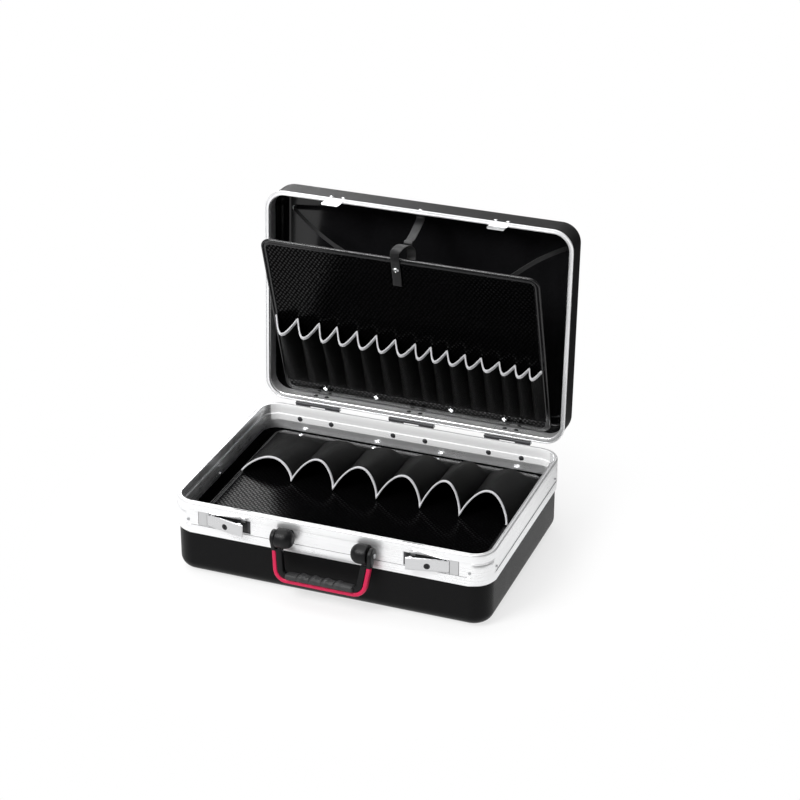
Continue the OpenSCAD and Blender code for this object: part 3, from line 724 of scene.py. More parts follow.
@dataclass(frozen=True)
class Finish:
    """What a surface is made of; each kind paints its own nodes."""

    name: str
    colour: tuple[float, float, float]
    roughness: float

    def material(self) -> bpy.types.Material:
        """Make the material the first time that it is asked for.

        Returns:
            The one material of this finish.
        """
        known = bpy.data.materials.get(self.name)
        if known is not None:
            return known
        bench = MaterialBench(self.name)
        self.paint(bench)
        return bench.material

    def shade(self, factor: float) -> tuple[float, float, float]:
        """The colour made lighter or darker by a factor."""
        return tuple(min(value * factor, 1.0) for value in self.colour)

    def paint(self, bench: MaterialBench) -> None:
        """Dress the bench's shader in a plain, slightly uneven finish."""
        cloud = bench.noise(bench.spot(), 0.05)
        bench.set(
            Base_Color=bench.tint(cloud, self.shade(0.9), self.shade(1.1)),
            Roughness=self.roughness + 0.08 * (cloud - 0.5),
        )

    def dress(self, *nodes: str) -> None:
        """Put this finish on CAD nodes that stay.

        Args:
            nodes: their names.
        """
        for node in nodes:
            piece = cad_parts[node]
            for place in piece.material_slots:
                place.material = self.material()
            if not piece.material_slots:
                piece.data.materials.append(self.material())


@dataclass(frozen=True)
class GrainedShell(Finish):
    """Moulded plastic with a fine rhombic grain, pitch millimetres apart."""

    pitch: float = 2.3
    depth: float = 0.2

    def paint(self, bench: MaterialBench) -> None:
        """Raised lozenges on the running map, with faint flow clouds and worn tops."""
        lattice = bench.cells(bench.run((1.0, 0.72, 1.0), math.pi / 4), 1 / self.pitch, 0.22, flat=True)
        pebble = 1 - lattice.step(0.12, 0.62)
        cloud = bench.noise(bench.spot(), 0.012, 3.0)
        dust = bench.noise(bench.spot(), 0.9, 2.0)
        bench.set(
            Base_Color=bench.tint(pebble * 0.6 + cloud * 0.5, self.shade(0.7), self.shade(1.35)),
            Roughness=self.roughness + 0.12 * (cloud - 0.5) + 0.06 * (dust - 0.5) - 0.05 * pebble,
            Specular_IOR_Level=0.1,
        )
        bench.bump(pebble + 0.12 * dust, self.depth)


@dataclass(frozen=True)
class GlossShell(Finish):
    """Smooth inner face of a formed shell, with long soft waves."""

    def paint(self, bench: MaterialBench) -> None:
        """Almost mirror smooth, waved at a hand's breadth, with fine hazy scuffs in its gloss; the same soft
        patches lighten and darken its colour as a painted reflection.
        """
        wave = bench.noise(bench.spot((0.6, 1.0, 0.35)), 0.011, 1.0)
        scuffs_and_painted_reflection = bench.noise(bench.spot((1.0, 1.0, 0.3)), 0.06, 5.0, 0.6)
        bench.set(
            # painted reflection: the soft patches lighten and darken the colour
            Base_Color=bench.tint(scuffs_and_painted_reflection, self.shade(0.7), self.shade(1.4)),
            Roughness=self.roughness + 0.1 * (scuffs_and_painted_reflection - 0.5),
            Specular_IOR_Level=0.42,
        )
        bench.bump(wave + 0.02 * scuffs_and_painted_reflection, 1.6)


@dataclass(frozen=True)
class BrushedExtrusion(Finish):
    """Natural aluminium, brushed along its length, with faint handling marks."""

    metal: float = 0.55
    streak: float = 0.045

    def paint(self, bench: MaterialBench) -> None:
        """Streaks long along the map's first axis, and a cloud that dulls them."""
        fine = bench.noise(bench.run((0.012, 3.2, 1.0)), 1.0, 3.0, 0.6)
        broad = bench.noise(bench.run((0.004, 0.5, 1.0)), 1.0, 2.0)
        cloud = bench.noise(bench.spot(), 0.016, 3.0)
        bench.set(
            Base_Color=bench.tint(fine * 0.5 + broad * 0.5, self.shade(0.9), self.shade(1.06)),
            Metallic=self.metal,
            Roughness=self.roughness + 0.16 * (fine - 0.5) + 0.14 * (cloud - 0.5),
        )
        bench.bump(fine + 0.3 * broad, self.streak)


@dataclass(frozen=True)
class SatinPlate(Finish):
    """Plated sheet metal with a fine satin grain along X, with painted shade: black inside its recess."""

    recess: float = 0.0

    def paint(self, bench: MaterialBench) -> None:
        """Short streaks along X on object coordinates, with small rubbed spots.

        Where a recess depth is given, all that lies behind it in Y is painted black as shade.
        """
        fine = bench.noise(bench.spot((0.08, 3.0, 3.0)), 1.0, 3.0, 0.6)
        rub = bench.noise(bench.spot(), 0.09, 4.0)
        plate = bench.tint(fine, self.shade(0.9), self.shade(1.07))
        metal: Signal | float = 1.0
        if self.recess:
            # painted shade: all that lies behind the recess depth in Y turns black and barely metallic
            back = bench.node("SeparateXYZ", {}, {0: bench.spot()})[1].step(self.recess - 0.3, self.recess)
            plate, metal = bench.tint(back, plate, (0.012, 0.012, 0.013)), 1 - 0.8 * back
        bench.set(
            Base_Color=plate,
            Metallic=metal,
            Roughness=self.roughness + 0.14 * (fine - 0.5) + 0.16 * (rub - 0.5),
        )
        bench.bump(fine, 0.01)


@dataclass(frozen=True)
class TurnedSteel(Finish):
    """Bright or dark steel of small fasteners, with fine scratches."""

    metal: float = 1.0

    def paint(self, bench: MaterialBench) -> None:
        """Fine scratches two ways and small stains, shared by colour and gloss."""
        scratch = bench.noise(bench.spot((0.3, 4.0, 4.0), 0.5), 1.0, 3.0, 0.6)
        stain = bench.noise(bench.spot(), 0.25, 4.0)
        bench.set(
            Base_Color=bench.tint(stain, self.shade(0.82), self.shade(1.1)),
            Metallic=self.metal,
            Roughness=self.roughness + 0.12 * (scratch - 0.5) + 0.1 * (stain - 0.5),
        )
        bench.bump(scratch, 0.008)


@dataclass(frozen=True)
class DottedVinyl(Finish):
    """Shiny vinyl embossed with rows of raised dots, pitch millimetres apart."""

    pitch: float = 4.9
    depth: float = 0.6

    def paint(self, bench: MaterialBench) -> None:
        """Rows of lacquered dots on a slanting lattice, on a ground that hardly shines; the dots are
        coloured lighter than the ground as a painted highlight.
        """
        lattice = bench.cells(bench.run((1.0, 0.86, 1.0), math.radians(38)), 1 / self.pitch, 0.16, flat=True)
        dot = 1 - lattice.step(0.24, 0.4)
        uneven = bench.noise(bench.run(), 0.02, 3.0)
        fine = bench.noise(bench.run(), 1.1, 3.0)
        bench.set(
            # painted highlight: the dots are coloured several times lighter than the ground
            Base_Color=bench.tint(dot, self.shade(0.4), self.shade(3.0)),
            Roughness=0.7,
            Specular_IOR_Level=0.0,
            Coat_Weight=(0.08 + 0.92 * dot) * (0.5 + 0.16 * (uneven - 0.5) + 0.12 * (fine - 0.5)),
            Coat_Roughness=self.roughness,
            Coat_IOR=1.5,
        )
        bench.bump(dot + 0.02 * fine, self.depth)


@dataclass(frozen=True)
class WeldedVinyl(Finish):
    """Smooth vinyl border with a pebbled skin and pressed weld marks."""

    def paint(self, bench: MaterialBench) -> None:
        """Small pebbles and long pressed ripples along the border."""
        pebble = bench.cells(bench.run(), 1.1, 0.9, flat=True)
        ripple = bench.noise(bench.run((0.05, 0.6, 1.0)), 1.0, 3.0)
        bench.set(
            Base_Color=bench.tint(ripple, self.shade(0.8), self.shade(1.25)),
            Roughness=self.roughness + 0.12 * (ripple - 0.5),
        )
        bench.bump(pebble * 0.3 + ripple, 0.12)


@dataclass(frozen=True)
class WovenCloth(Finish):
    """Plain woven nylon, with threads that cross every pitch millimetres."""

    pitch: float = 0.9

    def paint(self, bench: MaterialBench) -> None:
        """Threads over and under on the cloth's own map, faint creases and lint."""
        at = bench.run((2 * math.pi / self.pitch,) * 3)
        parts = bench.node("SeparateXYZ", {}, {0: at})
        weave = parts[0].sine() * parts[1].sine() * 0.5 + 0.5
        slub = bench.noise(bench.run((0.4, 3.0, 1.0)), 1.0, 3.0)
        crease = bench.noise(bench.run((0.03, 0.012, 1.0), 0.35), 1.0, 4.0, 0.6)
        bench.set(
            Base_Color=bench.tint(weave * 0.5 + slub * 0.5, self.shade(0.6), self.shade(1.5)),
            Roughness=self.roughness + 0.1 * (slub - 0.5),
            Specular_IOR_Level=0.13,
            Sheen_Weight=0.01,
            Sheen_Roughness=0.4,
        )
        bench.bump(weave * 0.16 + crease, 2.2, 0.9)


@dataclass(frozen=True)
class RibbedBinding(Finish):
    """Edge binding of ribbed grosgrain tape, ribs across its length."""

    def paint(self, bench: MaterialBench) -> None:
        """Ribs every 0.7 mm along the map's first axis, and soiling in the groove."""
        at = bench.run((2 * math.pi / 0.7, 1.0, 1.0))
        rib = bench.node("SeparateXYZ", {}, {0: at})[0].sine() * 0.5 + 0.5
        soil = bench.noise(bench.run(), 0.12, 4.0)
        bench.set(
            Base_Color=bench.tint(rib * 0.45 + soil * 0.55, self.shade(0.72), self.shade(1.12)),
            Roughness=self.roughness + 0.1 * (soil - 0.5),
            Sheen_Weight=0.2,
        )
        bench.bump(rib * 0.6 + soil, 0.16)


@dataclass(frozen=True)
class Leatherette(Finish):
    """Coated strap material with a fine pebble grain."""

    def paint(self, bench: MaterialBench) -> None:
        """Irregular pebbles about 0.8 mm wide with polished tops."""
        pebble = bench.cells(bench.run(), 1.25, 0.95, flat=True)
        bend = bench.noise(bench.run((0.3, 0.06, 1.0)), 1.0, 3.0)
        bench.set(
            Base_Color=bench.tint(pebble, self.shade(1.3), self.shade(0.6)),
            Roughness=self.roughness + 0.2 * pebble - 0.12 * (bend - 0.5),
        )
        bench.bump(1 - pebble + 0.6 * bend, 0.14)


@dataclass(frozen=True)
class MouldedGrip(Finish):
    """Moulded handle plastic with a fine spark grain."""

    grain: float = 0.1
    shine: float = 0.3

    def paint(self, bench: MaterialBench) -> None:
        """Fine even grain on object coordinates, and faint rubbed zones."""
        spark = bench.cells(bench.spot(), 1.6, 1.0)
        rub = bench.noise(bench.spot(), 0.05, 3.0)
        bench.set(
            Base_Color=bench.tint(spark * 0.5 + rub * 0.5, self.shade(0.8), self.shade(1.25)),
            Roughness=self.roughness + 0.14 * (rub - 0.5) + 0.06 * (spark - 0.5),
            Specular_IOR_Level=self.shine,
        )
        bench.bump(spark, self.grain)


SHELL = GrainedShell("shell_grain", (0.0028, 0.0028, 0.0031), 0.4)
SHELL_GLOSS = GlossShell("shell_gloss", (0.0062, 0.0062, 0.0068), 0.12)
FRAME = BrushedExtrusion("frame_brushed", (0.93, 0.933, 0.94), 0.3, 0.7)
# lighter, wholly diffuse copy of the metal for the frame's inner face: a painted highlight
FRAME_INSIDE_PAINTED_HIGHLIGHT = BrushedExtrusion("frame_inside_painted_highlight", (0.97, 0.972, 0.976), 0.42, 0.0, 0.1)
# dark copy of the metal for the channel's lower step: a painted shadow
FRAME_PAINTED_SHADOW = BrushedExtrusion("frame_painted_shadow", (0.2, 0.2, 0.205), 0.5)
GASKET = Finish("gasket_rubber", (0.52, 0.52, 0.53), 0.7)
# the housings' parts behind y -167.6 carry painted shade
PLATE = SatinPlate("latch_satin", (0.64, 0.643, 0.65), 0.34, -167.6)
LEVER = SatinPlate("lever_satin", (0.69, 0.692, 0.7), 0.3)
BRIGHT = TurnedSteel("bright_steel", (0.88, 0.885, 0.89), 0.34)
PIN = TurnedSteel("pin_steel", (0.42, 0.425, 0.43), 0.32)
LOCK = TurnedSteel("lock_steel", (0.016, 0.016, 0.018), 0.34, 0.5)
DARK = TurnedSteel("dark_steel", (0.009, 0.009, 0.01), 0.3, 0.0)
VINYL = DottedVinyl("board_dots", (0.0012, 0.0012, 0.0013), 0.2)
BORDER = WeldedVinyl("board_border", (0.004, 0.004, 0.0044), 0.2)
CLOTH = WovenCloth("pocket_weave", (0.001, 0.001, 0.0011), 0.5)
BINDING = RibbedBinding("binding_ribs", (0.68, 0.68, 0.7), 0.7)
STRAP = Leatherette("strap_leatherette", (0.008, 0.008, 0.0085), 0.4)
HANDLE_BLACK = MouldedGrip("handle_black", (0.005, 0.005, 0.0055), 0.36, 0.1, 0.2)
GRIP = MouldedGrip("grip_soft", (0.028, 0.028, 0.029), 0.5, 0.16, 0.35)
CRIMSON = MouldedGrip("inlay_crimson", (0.5, 0.008, 0.06), 0.42, 0.04)


# ---------------------------------------------------------------- sub-assemblies
@dataclass
class CaseShells:
    """The two moulded shells: tubs with soft edges, grained outside and glossy inside."""

    width: float = CASE_WIDTH
    depth: float = CASE_DEPTH
    corner: float = CASE_CORNER
    edge: float = 18.0
    wall: float = 2.8
    base_top: float = 80.0
    lid_rim: float = 121.6
    lid_top: float = 178.0

    def profile(self, height: float) -> tuple[Array, Array]:
        """Section of a tub, from the flat outside, up the wall and down again inside.

        Both arcs turn about the same centre, edge millimetres in and up; the inner one is
        smaller by the wall. The rim between them is rounded.

        Args:
            height: of the tub's rim above its flat.

        Returns:
            The section's points, and the material number of each stretch between them.
        """
        out = quarter(self.edge, -90, 0, 13, -self.edge, self.edge)
        inside = quarter(self.edge - self.wall, 0, -90, 13, -self.edge, self.edge)
        rise = np.linspace(self.edge, height - 0.6, 7)
        wall_out = np.stack([np.zeros(6), rise[1:]], axis=-1)
        rim = np.array([[-0.2, height - 0.15], [-0.6, height], [0.6 - self.wall, height],
                        [0.2 - self.wall, height - 0.15]])
        wall_in = np.stack([np.full(6, -self.wall), np.linspace(height - 0.6, self.edge, 7)[:-1]], axis=-1)
        section = np.concatenate([out, wall_out, rim, wall_in, inside])
        tones = np.zeros(len(section) - 1, int)
        tones[len(out) + len(wall_out) + 1:] = 1
        return section, tones

    def shell(
        self,
        name: str,
        height: float,
        place: Callable[[Array], Array],
        turned: bool,
    ) -> bpy.types.Object:
        """Build one tub.

        Args:
            name: of the piece.
            height: of its rim above its flat.
            place: takes it from the drawn place to its own.
            turned: whether that place turns it inside out, as a mirror does.

        Returns:
            The shell.
        """
        form = Form(name)
        ring = Ring.rounded(self.width, self.depth, self.corner, 24, 20)
        section, tones = self.profile(height)
        capped(form, ring.sweep(section), ring.points - self.edge * ring.normals, turned, tones, 1)
        return form.build([SHELL, SHELL_GLOSS], place)

    def _on_lid(self, points: Array) -> Array:
        """Turn a tub over on to the lid's rim, and swing it open."""
        return LID(points * [1, 1, -1] + [0, 0, self.lid_top])

    def build(self) -> None:
        """Build and hand over both shells."""
        base = self.shell("base_tub", self.base_top, stay_put, False)
        hand_over(base, "base", ["base_shell"])
        lid = self.shell("lid_tub", self.lid_top - self.lid_rim, self._on_lid, True)
        hand_over(lid, "lid", ["lid_shell"])


@dataclass
class RimFrames:
    """The two aluminium frames, bent from one extrusion each."""

    width: float = CASE_WIDTH
    depth: float = CASE_DEPTH
    corner: float = CASE_CORNER
    proud: float = 2.5
    channel: float = 1.0
    foot: float = 68.0
    band: float = 82.0
    lip: float = 105.0
    rim: float = 118.0
    lid_rim: float = 118.6
    in_hi: float = 4.4
    in_lo: float = 5.9
    latch_from: float = 116.0
    latch_to: float = 198.2
    hasp_x: float = 129.0
    hasp_half: float = 14.2
    crease: float = 28.0

    def base_sections(self, ring: Ring) -> Array:
        """Sections of the base frame, one for each point of the outline.

        On the sides the outer face has a flat channel between two bands. Round the bends
        the channel has been pushed out to a belly, which leaves a crease under the lip, so
        each section is the side's plus the bend weight times the difference.

        Args:
            ring: the case's outline.

        Returns:
            Outline points x section points x 2, each (out, height).
        """
        p, c, f, b, l, r = self.proud, self.channel, self.foot, self.band, self.lip, self.rim
        hi, lo = self.in_hi, self.in_lo
        mid = np.linspace(b + 0.5, l - 1.0, 9)
        crown = [[p, r - 2.6], [p - 0.25, r - 1.5], [p - 0.8, r - 0.6], [p - 1.7, r], [0.4, r], [0.4, r - 2],
                 [-1.9, r - 2], [-1.9, r], [0.9 - hi, r], [0.3 - hi, r - 0.25], [-hi, r - 0.9], [-hi, r - 8],
                 [-hi, r - 15.4], [0.15 - lo, r - 16.2], [-lo, r - 17], [-lo, f + 24], [-lo, f + 10],
                 [0.5 - lo, f + 9], [-3.0, f + 9], [-3.0, r - 4.5], [0.15, r - 4.5]]
        side = np.concatenate([
            [[0.15, f], [p - 0.8, f], [p - 0.2, f + 0.25], [p, f + 0.9], [p, f + 7], [p, b - 1.0],
             [p - 0.15, b - 0.45], [p - c + 0.1, b + 0.1]],
            [[p - c, z] for z in mid],
            [[p - c + 0.1, l - 0.75], [p - 0.15, l - 0.2], [p, l + 0.4], [p, l + 5]],
            crown,
        ])
        belly = np.concatenate([
            [[0.15, f], [p - 1.7, f], [p - 1.0, f + 0.8], [p - 0.5, f + 2.2], [p + 0.1, f + 6.5],
             [p + 0.3, b - 1.5], [p + 0.35, b - 0.3], [p + 0.35, b + 0.6]],
            [[p + 0.35 - 1.7 * math.exp(-((z - l + 4.2) / 1.5) ** 2), z] for z in mid],
            [[p - 0.1, l - 0.5], [p, l + 0.3], [p, l + 1.2], [p, l + 5.5]],
            crown,
        ])
        return side + ring.bend[:, None, None] * (belly - side)

    def hasp_notch(self, side: int, y: float, low: float, high: float) -> tuple[float, ...]:
        """Box of the notch for a hasp, between two heights and from y to the frame's face."""
        x, face = side * self.hasp_x, 2.95 - self.depth / 2
        return x - self.hasp_half, y, low, x + self.hasp_half, face, high

    def base(self) -> None:
        """Build the base frame, cut for the latches and the hasps.

        Its inner face along the front and the rear is rougher and takes a lighter, wholly diffuse copy of
        the metal, a painted highlight, and one line of the channel on the straight sides is dark metal, a
        painted shadow at the channel's lower step.
        """
        ring = Ring.rounded(self.width, self.depth, self.corner, 32, 24)
        form = Form("base_rim_frame")
        sections = self.base_sections(ring)
        tones = np.zeros(sections.shape[:2], int)
        # the inner face along the front and the rear takes the lighter diffuse copy: a painted highlight
        tones[np.abs(ring.normals[:, 1]) > 0.75, -14:-6] = 1
        # the channel's lower step on the straight sides is painted dark: a painted shadow
        tones[ring.bend < 0.02, 6] = 2
        form.grid(ring.sweep(sections), wrap=(True, True), tones=tones)
        piece = form.build([FRAME, FRAME_INSIDE_PAINTED_HIGHLIGHT, FRAME_PAINTED_SHADOW], crease=self.crease)
        y = -self.depth / 2
        boxes = []
        for side in (-1, 1):
            x0, x1 = sorted((side * self.latch_from, side * self.latch_to))
            boxes.append((x0, y - 4, self.band + 0.3, x1, y + 0.6, self.lip - 0.6))
            boxes.append(self.hasp_notch(side, y + 0.3, self.rim - 5.5, self.rim + 1))
        cut_boxes(piece, boxes, self.crease)
        hand_over(piece, "base", ["base_frame"])

    def lid(self) -> None:
        """Build the lid's frame: a low outer bead and a tall inner leg."""
        p, q, z = self.proud, self.in_hi, self.lid_rim
        section = np.array([
            [p - 1.1, z], [p - 0.55, z + 0.2], [p - 0.3, z + 0.75], [p - 0.3, z + 2.1], [p - 0.55, z + 2.6],
            [p - 1.1, z + 2.8], [-2.9, z + 2.8], [-2.9, z + 24], [-5.0, z + 24], [-5.4, z + 23.6],
            [-5.4, z + 14], [-5.4, z + 4.5], [-5.25, z + 3.9], [-4.55, z + 3.5], [-q, z + 3.0],
            [-q, z + 0.7], [0.3 - q, z + 0.15], [0.8 - q, z], [-1.9, z], [-1.9, z + 1], [0.3, z + 1],
            [0.3, z],
        ])
        ring = Ring.rounded(self.width, self.depth, self.corner, 32, 24)
        form = Form("lid_rim_frame")
        form.grid(ring.sweep(section), wrap=(True, True))
        piece = form.build([FRAME], crease=self.crease)
        y = -self.depth / 2
        cut_boxes(piece, [self.hasp_notch(side, y + 1.3, z - 1, z + 4) for side in (-1, 1)], self.crease)
        move_mesh(piece, LID)
        hand_over(piece, "lid", ["lid_frame"])

    def build(self) -> None:
        """Build both frames and dress the seal between them."""
        self.base()
        self.lid()
        GASKET.dress("frame_gasket")


@dataclass
class Hardware:
    """Hinges, latches, hasps, rivets and studs, whose CAD shapes stay."""

    def build(self) -> None:
        """Give each kept node its finish."""
        DARK.dress("hinge_base_leaves", "hinge_lid_leaves", "hinge_base_rivets", "hinge_lid_rivets",
                   "latch_catches")
        PIN.dress("corner_pins", "hinge_pins", "latch_pivot_pins", "handle_pins")
        LOCK.dress("lock_left", "lock_right")
        BRIGHT.dress("side_studs", "hasp_left", "hasp_right", "hasp_rivets", "strap_rivet", "stay_rivets",
                     "base_snaps", "lid_snaps", "strap_snap")
        PLATE.dress("latch_housing_left", "latch_housing_right")
        LEVER.dress("latch_lever_left", "latch_lever_right")


@dataclass
class CarryHandle:
    """The folding handle: two bullet mounts, a bow, a finger grip and a coloured inlay.

    Lengths along v run down from the pivot, in the handle's own plane.
    """

    arm_x: float = 74.2
    half_thick: float = 3.5
    length: float = 64.8
    radius: float = 21.0
    lean: float = 7.7
    arm_width: float = 15.5
    window_radius: float = 8.0
    window_gap: float = 3.9
    web_half: float = 4.6
    shoulder: float = 16.4
    eye_radius: float = 11.0
    eye_end: float = 18.8
    tangent_v: float = 3.95
    tangent_half: float = 10.27
    tangent_slope: float = 0.382
    inlay: float = 6.4
    inlay_top: float = 19.0
    inlay_half: float = 4.3
    grip_low: float = 47.2
    grip_high: float = 58.3
    grip_half: float = 52.2
    grip_end: float = 3.0
    grip_width: float = 8.7
    ridges: tuple[float, ...] = (-27.0, -8.5, 10.0, 28.5)
    mount_radius: float = 14.5
    mount_gap: float = 5.2
    drum: float = 12.0
    nose: float = 13.0
    nose_draw: float = 12.0
    foot_at: float = 15.5
    foot_size: tuple[float, float, float] = (19.0, 18.0, 3.0)
    frame_face: float = -168.6

    def bow_path(self, arms: Array, x: Array | float, v: float, radius: Array | float) -> Array:
        """Half of a U in the handle's plane, mirrored to a whole one.

        It runs down an arm that leans in, round a bend and along the bottom. The arm
        touches the bend at the lean's angle, where x is the bend's centre plus radius over
        its cosine, plus the height above the centre times its tangent.

        Args:
            arms: depths below the pivot of the points on the arm.
            x: the bend's centre, sideways.
            v: the bend's centre, below the pivot.
            radius: of the bend; where an array, one for each point on the arm and the
                last of them for the bend.

        Returns:
            Points (x, v), n x 2.
        """
        lean = math.radians(self.lean)
        bend = float(np.atleast_1d(radius)[-1])
        arm = np.stack([x + radius / math.cos(lean) + (v - arms) * math.tan(lean), arms], axis=-1)
        angle = np.linspace(lean, np.pi / 2, 18)
        turn = np.stack([x + bend * np.cos(angle), v + bend * np.sin(angle)], axis=-1)
        run = np.stack([np.linspace(x, 0, 16)[1:], np.full(15, v + bend)], axis=-1)
        half = np.concatenate([arm, turn, run])
        return np.concatenate([half * [-1, 1], half[-2::-1]])

    @property
    def bend(self) -> tuple[float, float]:
        """Centre of the outer bend.

        It lies a radius above the bottom, and as far in as the leaning arm has come there.

        Returns:
            Its place sideways, and below the pivot.
        """
        lean = math.radians(self.lean)
        v = self.length - self.radius
        return self.arm_x + self.half_thick - v * math.tan(lean) - self.radius / math.cos(lean), v

    def build_bow(self) -> None:
        """Build the black bow: a web between an outer and an inner U, with round eyes.

        Above the inlay the web reaches the outer edge; below it gives way to the inlay.
        """
        bend_x, bend_v = self.bend
        low = self.grip_low - self.window_gap
        arms = np.concatenate([[self.shoulder, 17.0, 18.6, self.eye_end], np.linspace(19.6, low - 0.4, 10)])
        inset = np.where(arms < self.eye_end - 0.1, 0.5, self.inlay + 0.1)
        outer = self.bow_path(arms, bend_x, bend_v, self.radius - inset)
        lean = math.radians(self.lean)
        shift = self.radius - self.arm_width - self.window_radius
        window = bend_x + (bend_v - low) * math.tan(lean) + shift / math.cos(lean)
        inner = self.bow_path(arms, window, low, np.full(len(arms), self.window_radius))
        section = rounded_section(0.5, self.web_half, 7.0, 20)
        middle, reach = (outer + inner) / 2, outer - inner
        rings = middle[:, None] + section[None, :, :1] * reach[:, None]
        rings = np.concatenate([rings, np.broadcast_to(section[:, 1:], rings.shape[:2] + (1,))], axis=-1)
        form = Form("handle_bow")
        tube(form, rings, flip=False)
        for side in (-1, 1):
            self._eye(form, side)
        piece = form.build([HANDLE_BLACK], HANDLE, crease=40)
        hand_over(piece, "handle", ["handle_core"])

    def _eye(self, form: Form, side: int) -> None:
        """Add an arm's upper end: a disc that runs down into the arm, its edges softened.

        Its half width is that of a circle, and below the tangent's place that of a line
        that narrows by the tangent's slope.

        Args:
            form: the bow, to which it is added.
            side: -1 on the left and 1 on the right.
        """
        top = -self.eye_radius * np.cos(np.linspace(0, np.pi / 2, 17))
        v = np.concatenate([top, np.linspace(0.8, self.tangent_v, 5), np.linspace(5.5, self.eye_end, 8)])
        disc = np.sqrt(np.clip(self.eye_radius**2 - v**2, 0, None))
        half = np.where(v < 4, disc, self.tangent_half - self.tangent_slope * (v - self.tangent_v))
        loop = np.concatenate([np.stack([v, half], -1), np.stack([v, -half], -1)[:0:-1]])[::-1]
        lo, hi = self.arm_x - self.half_thick, self.arm_x + self.half_thick - 0.6
        section = np.array([[-1.0, lo], [-0.3, lo + 0.3], [0, lo + 1.0], [0, hi - 1.6], [-0.45, hi - 0.5],
                            [-1.6, hi]])
        rings = Ring.through(loop).sweep(section)
        rings[..., 2] -= 1.5 * np.clip(rings[..., 0], 0, self.eye_end) / self.eye_end
        capped(form, np.stack([side * rings[..., 2], rings[..., 0], rings[..., 1]], axis=-1), loop, side < 0)

    def build_inlay(self) -> None:
        """Build the coloured inlay: a rounded oblong carried round the bow's outer edge."""
        bend_x, bend_v = self.bend
        middle = self.radius - self.inlay / 2
        path = self.bow_path(np.linspace(self.inlay_top, bend_v + 1.5, 14), bend_x, bend_v, middle)
        flat = np.c_[path, np.zeros(len(path))]
        section = rounded_section(self.inlay_half, self.inlay / 2, 3.6, 24)
        form = Form("handle_inlay_strip")
        tube(form, carried(flat, np.array([0.0, 0.0, 1.0]), section))
        piece = form.build([CRIMSON], HANDLE, crease=50)
        hand_over(piece, "handle", ["handle_inlay"])

    def build_grip(self) -> None:
        """Build the grip: an oblong sleeve with finger scoops between four ridges.

        The side towards the fingers dips by 1.9 mm between the ridges, each a bell curve
        4.2 mm wide, and the faces pinch in there. Beside each ridge a narrow groove runs
        round. The ends close as an ellipse does.
        """
        bulb = self.grip_end * (1 - np.cos(np.linspace(0, np.pi / 2, 7)))
        body = np.linspace(-self.grip_half + self.grip_end, self.grip_half - self.grip_end, 171)[1:-1]
        x = np.concatenate([-self.grip_half + bulb, body, self.grip_half - bulb[::-1]])
        ridge = sum(np.exp(-(((x - at) / 4.2) ** 2)) for at in self.ridges)
        groove = sum(np.exp(-(((x - at + 5.6) / 0.9) ** 2)) for at in self.ridges)
        past = np.clip(np.abs(x) - self.grip_half + self.grip_end, 0, self.grip_end) / self.grip_end
        end = np.sqrt(np.clip(1 - past**2, 0.02, 1))
        rise = np.clip(ridge, 0, 1) - 0.9 * groove
        top = self.grip_low + 1.9 * (1 - rise)
        section = rounded_section(1.0, 1.0, 3.2, 32)
        centre, half_v = (top + self.grip_high) / 2, (self.grip_high - top) / 2 * end
        half_w = (self.grip_width + 0.9 * rise) * end
        form = Form("handle_finger_grip")
        tube(form, np.stack([
            np.broadcast_to(x[:, None], (len(x), 32)),
            centre[:, None] + half_v[:, None] * section[None, :, 0],
            half_w[:, None] * section[None, :, 1],
        ], axis=-1))
        piece = form.build([GRIP], HANDLE, crease=60)
        hand_over(piece, "handle", ["handle_grip"])

    def build_mount(self, side: int, word: str) -> None:
        """Build one mount: a round drum at the arm that draws in to a blunt nose.

        Past the drum the section is an ellipse's: the radius is less by the draw times
        1 - cos a where the run is longer by the nose times sin a. A foot behind the drum
        fills the gap to the frame.

        Args:
            side: -1 on the left and 1 on the right.
            word: that side's name.
        """
        full, angle = self.mount_radius, np.radians(np.linspace(0, 70, 13))
        run = np.concatenate([[0.0, 0.25, 0.7, 1.3, 6.0], self.drum + self.nose * np.sin(angle), [24.5]])
        radius = np.concatenate([[full - 1.2, full - 0.6, full - 0.2, full, full],
                                 full - self.nose_draw * (1 - np.cos(angle)), [5.2]])
        turn = np.linspace(0, 2 * np.pi, 56, endpoint=False)
        dy, dz = np.cos(turn)[None] * radius[:, None], np.sin(turn)[None] * radius[:, None]
        x = np.broadcast_to(side * (self.arm_x - self.mount_gap - run)[:, None], dy.shape)
        form = Form(f"handle_boss_{word}")
        tube(form, np.stack([x, PIVOT_Y + dy, PIVOT_Z + dz], axis=-1), flip=side < 0)
        foot = Ring.rounded(*self.foot_size, 8, 4)
        place = (side * (self.arm_x - self.foot_at), PIVOT_Z - 1)
        rings = foot.sweep(np.array([[0.0, self.frame_face], [0.0, PIVOT_Y]]), place)
        capped(form, rings[..., [0, 2, 1]], foot.points)
        piece = form.build([HANDLE_BLACK], crease=40)
        hand_over(piece, "base", [f"handle_mount_{word}"])

    def build(self) -> None:
        """Build the whole handle."""
        self.build_bow()
        self.build_inlay()
        self.build_grip()
        for side, word in ((-1, "left"), (1, "right")):
            self.build_mount(side, word)


class Where(Enum):
    """Which of the two tool boards a piece belongs to."""

    BASE = "base"
    LID = "lid"


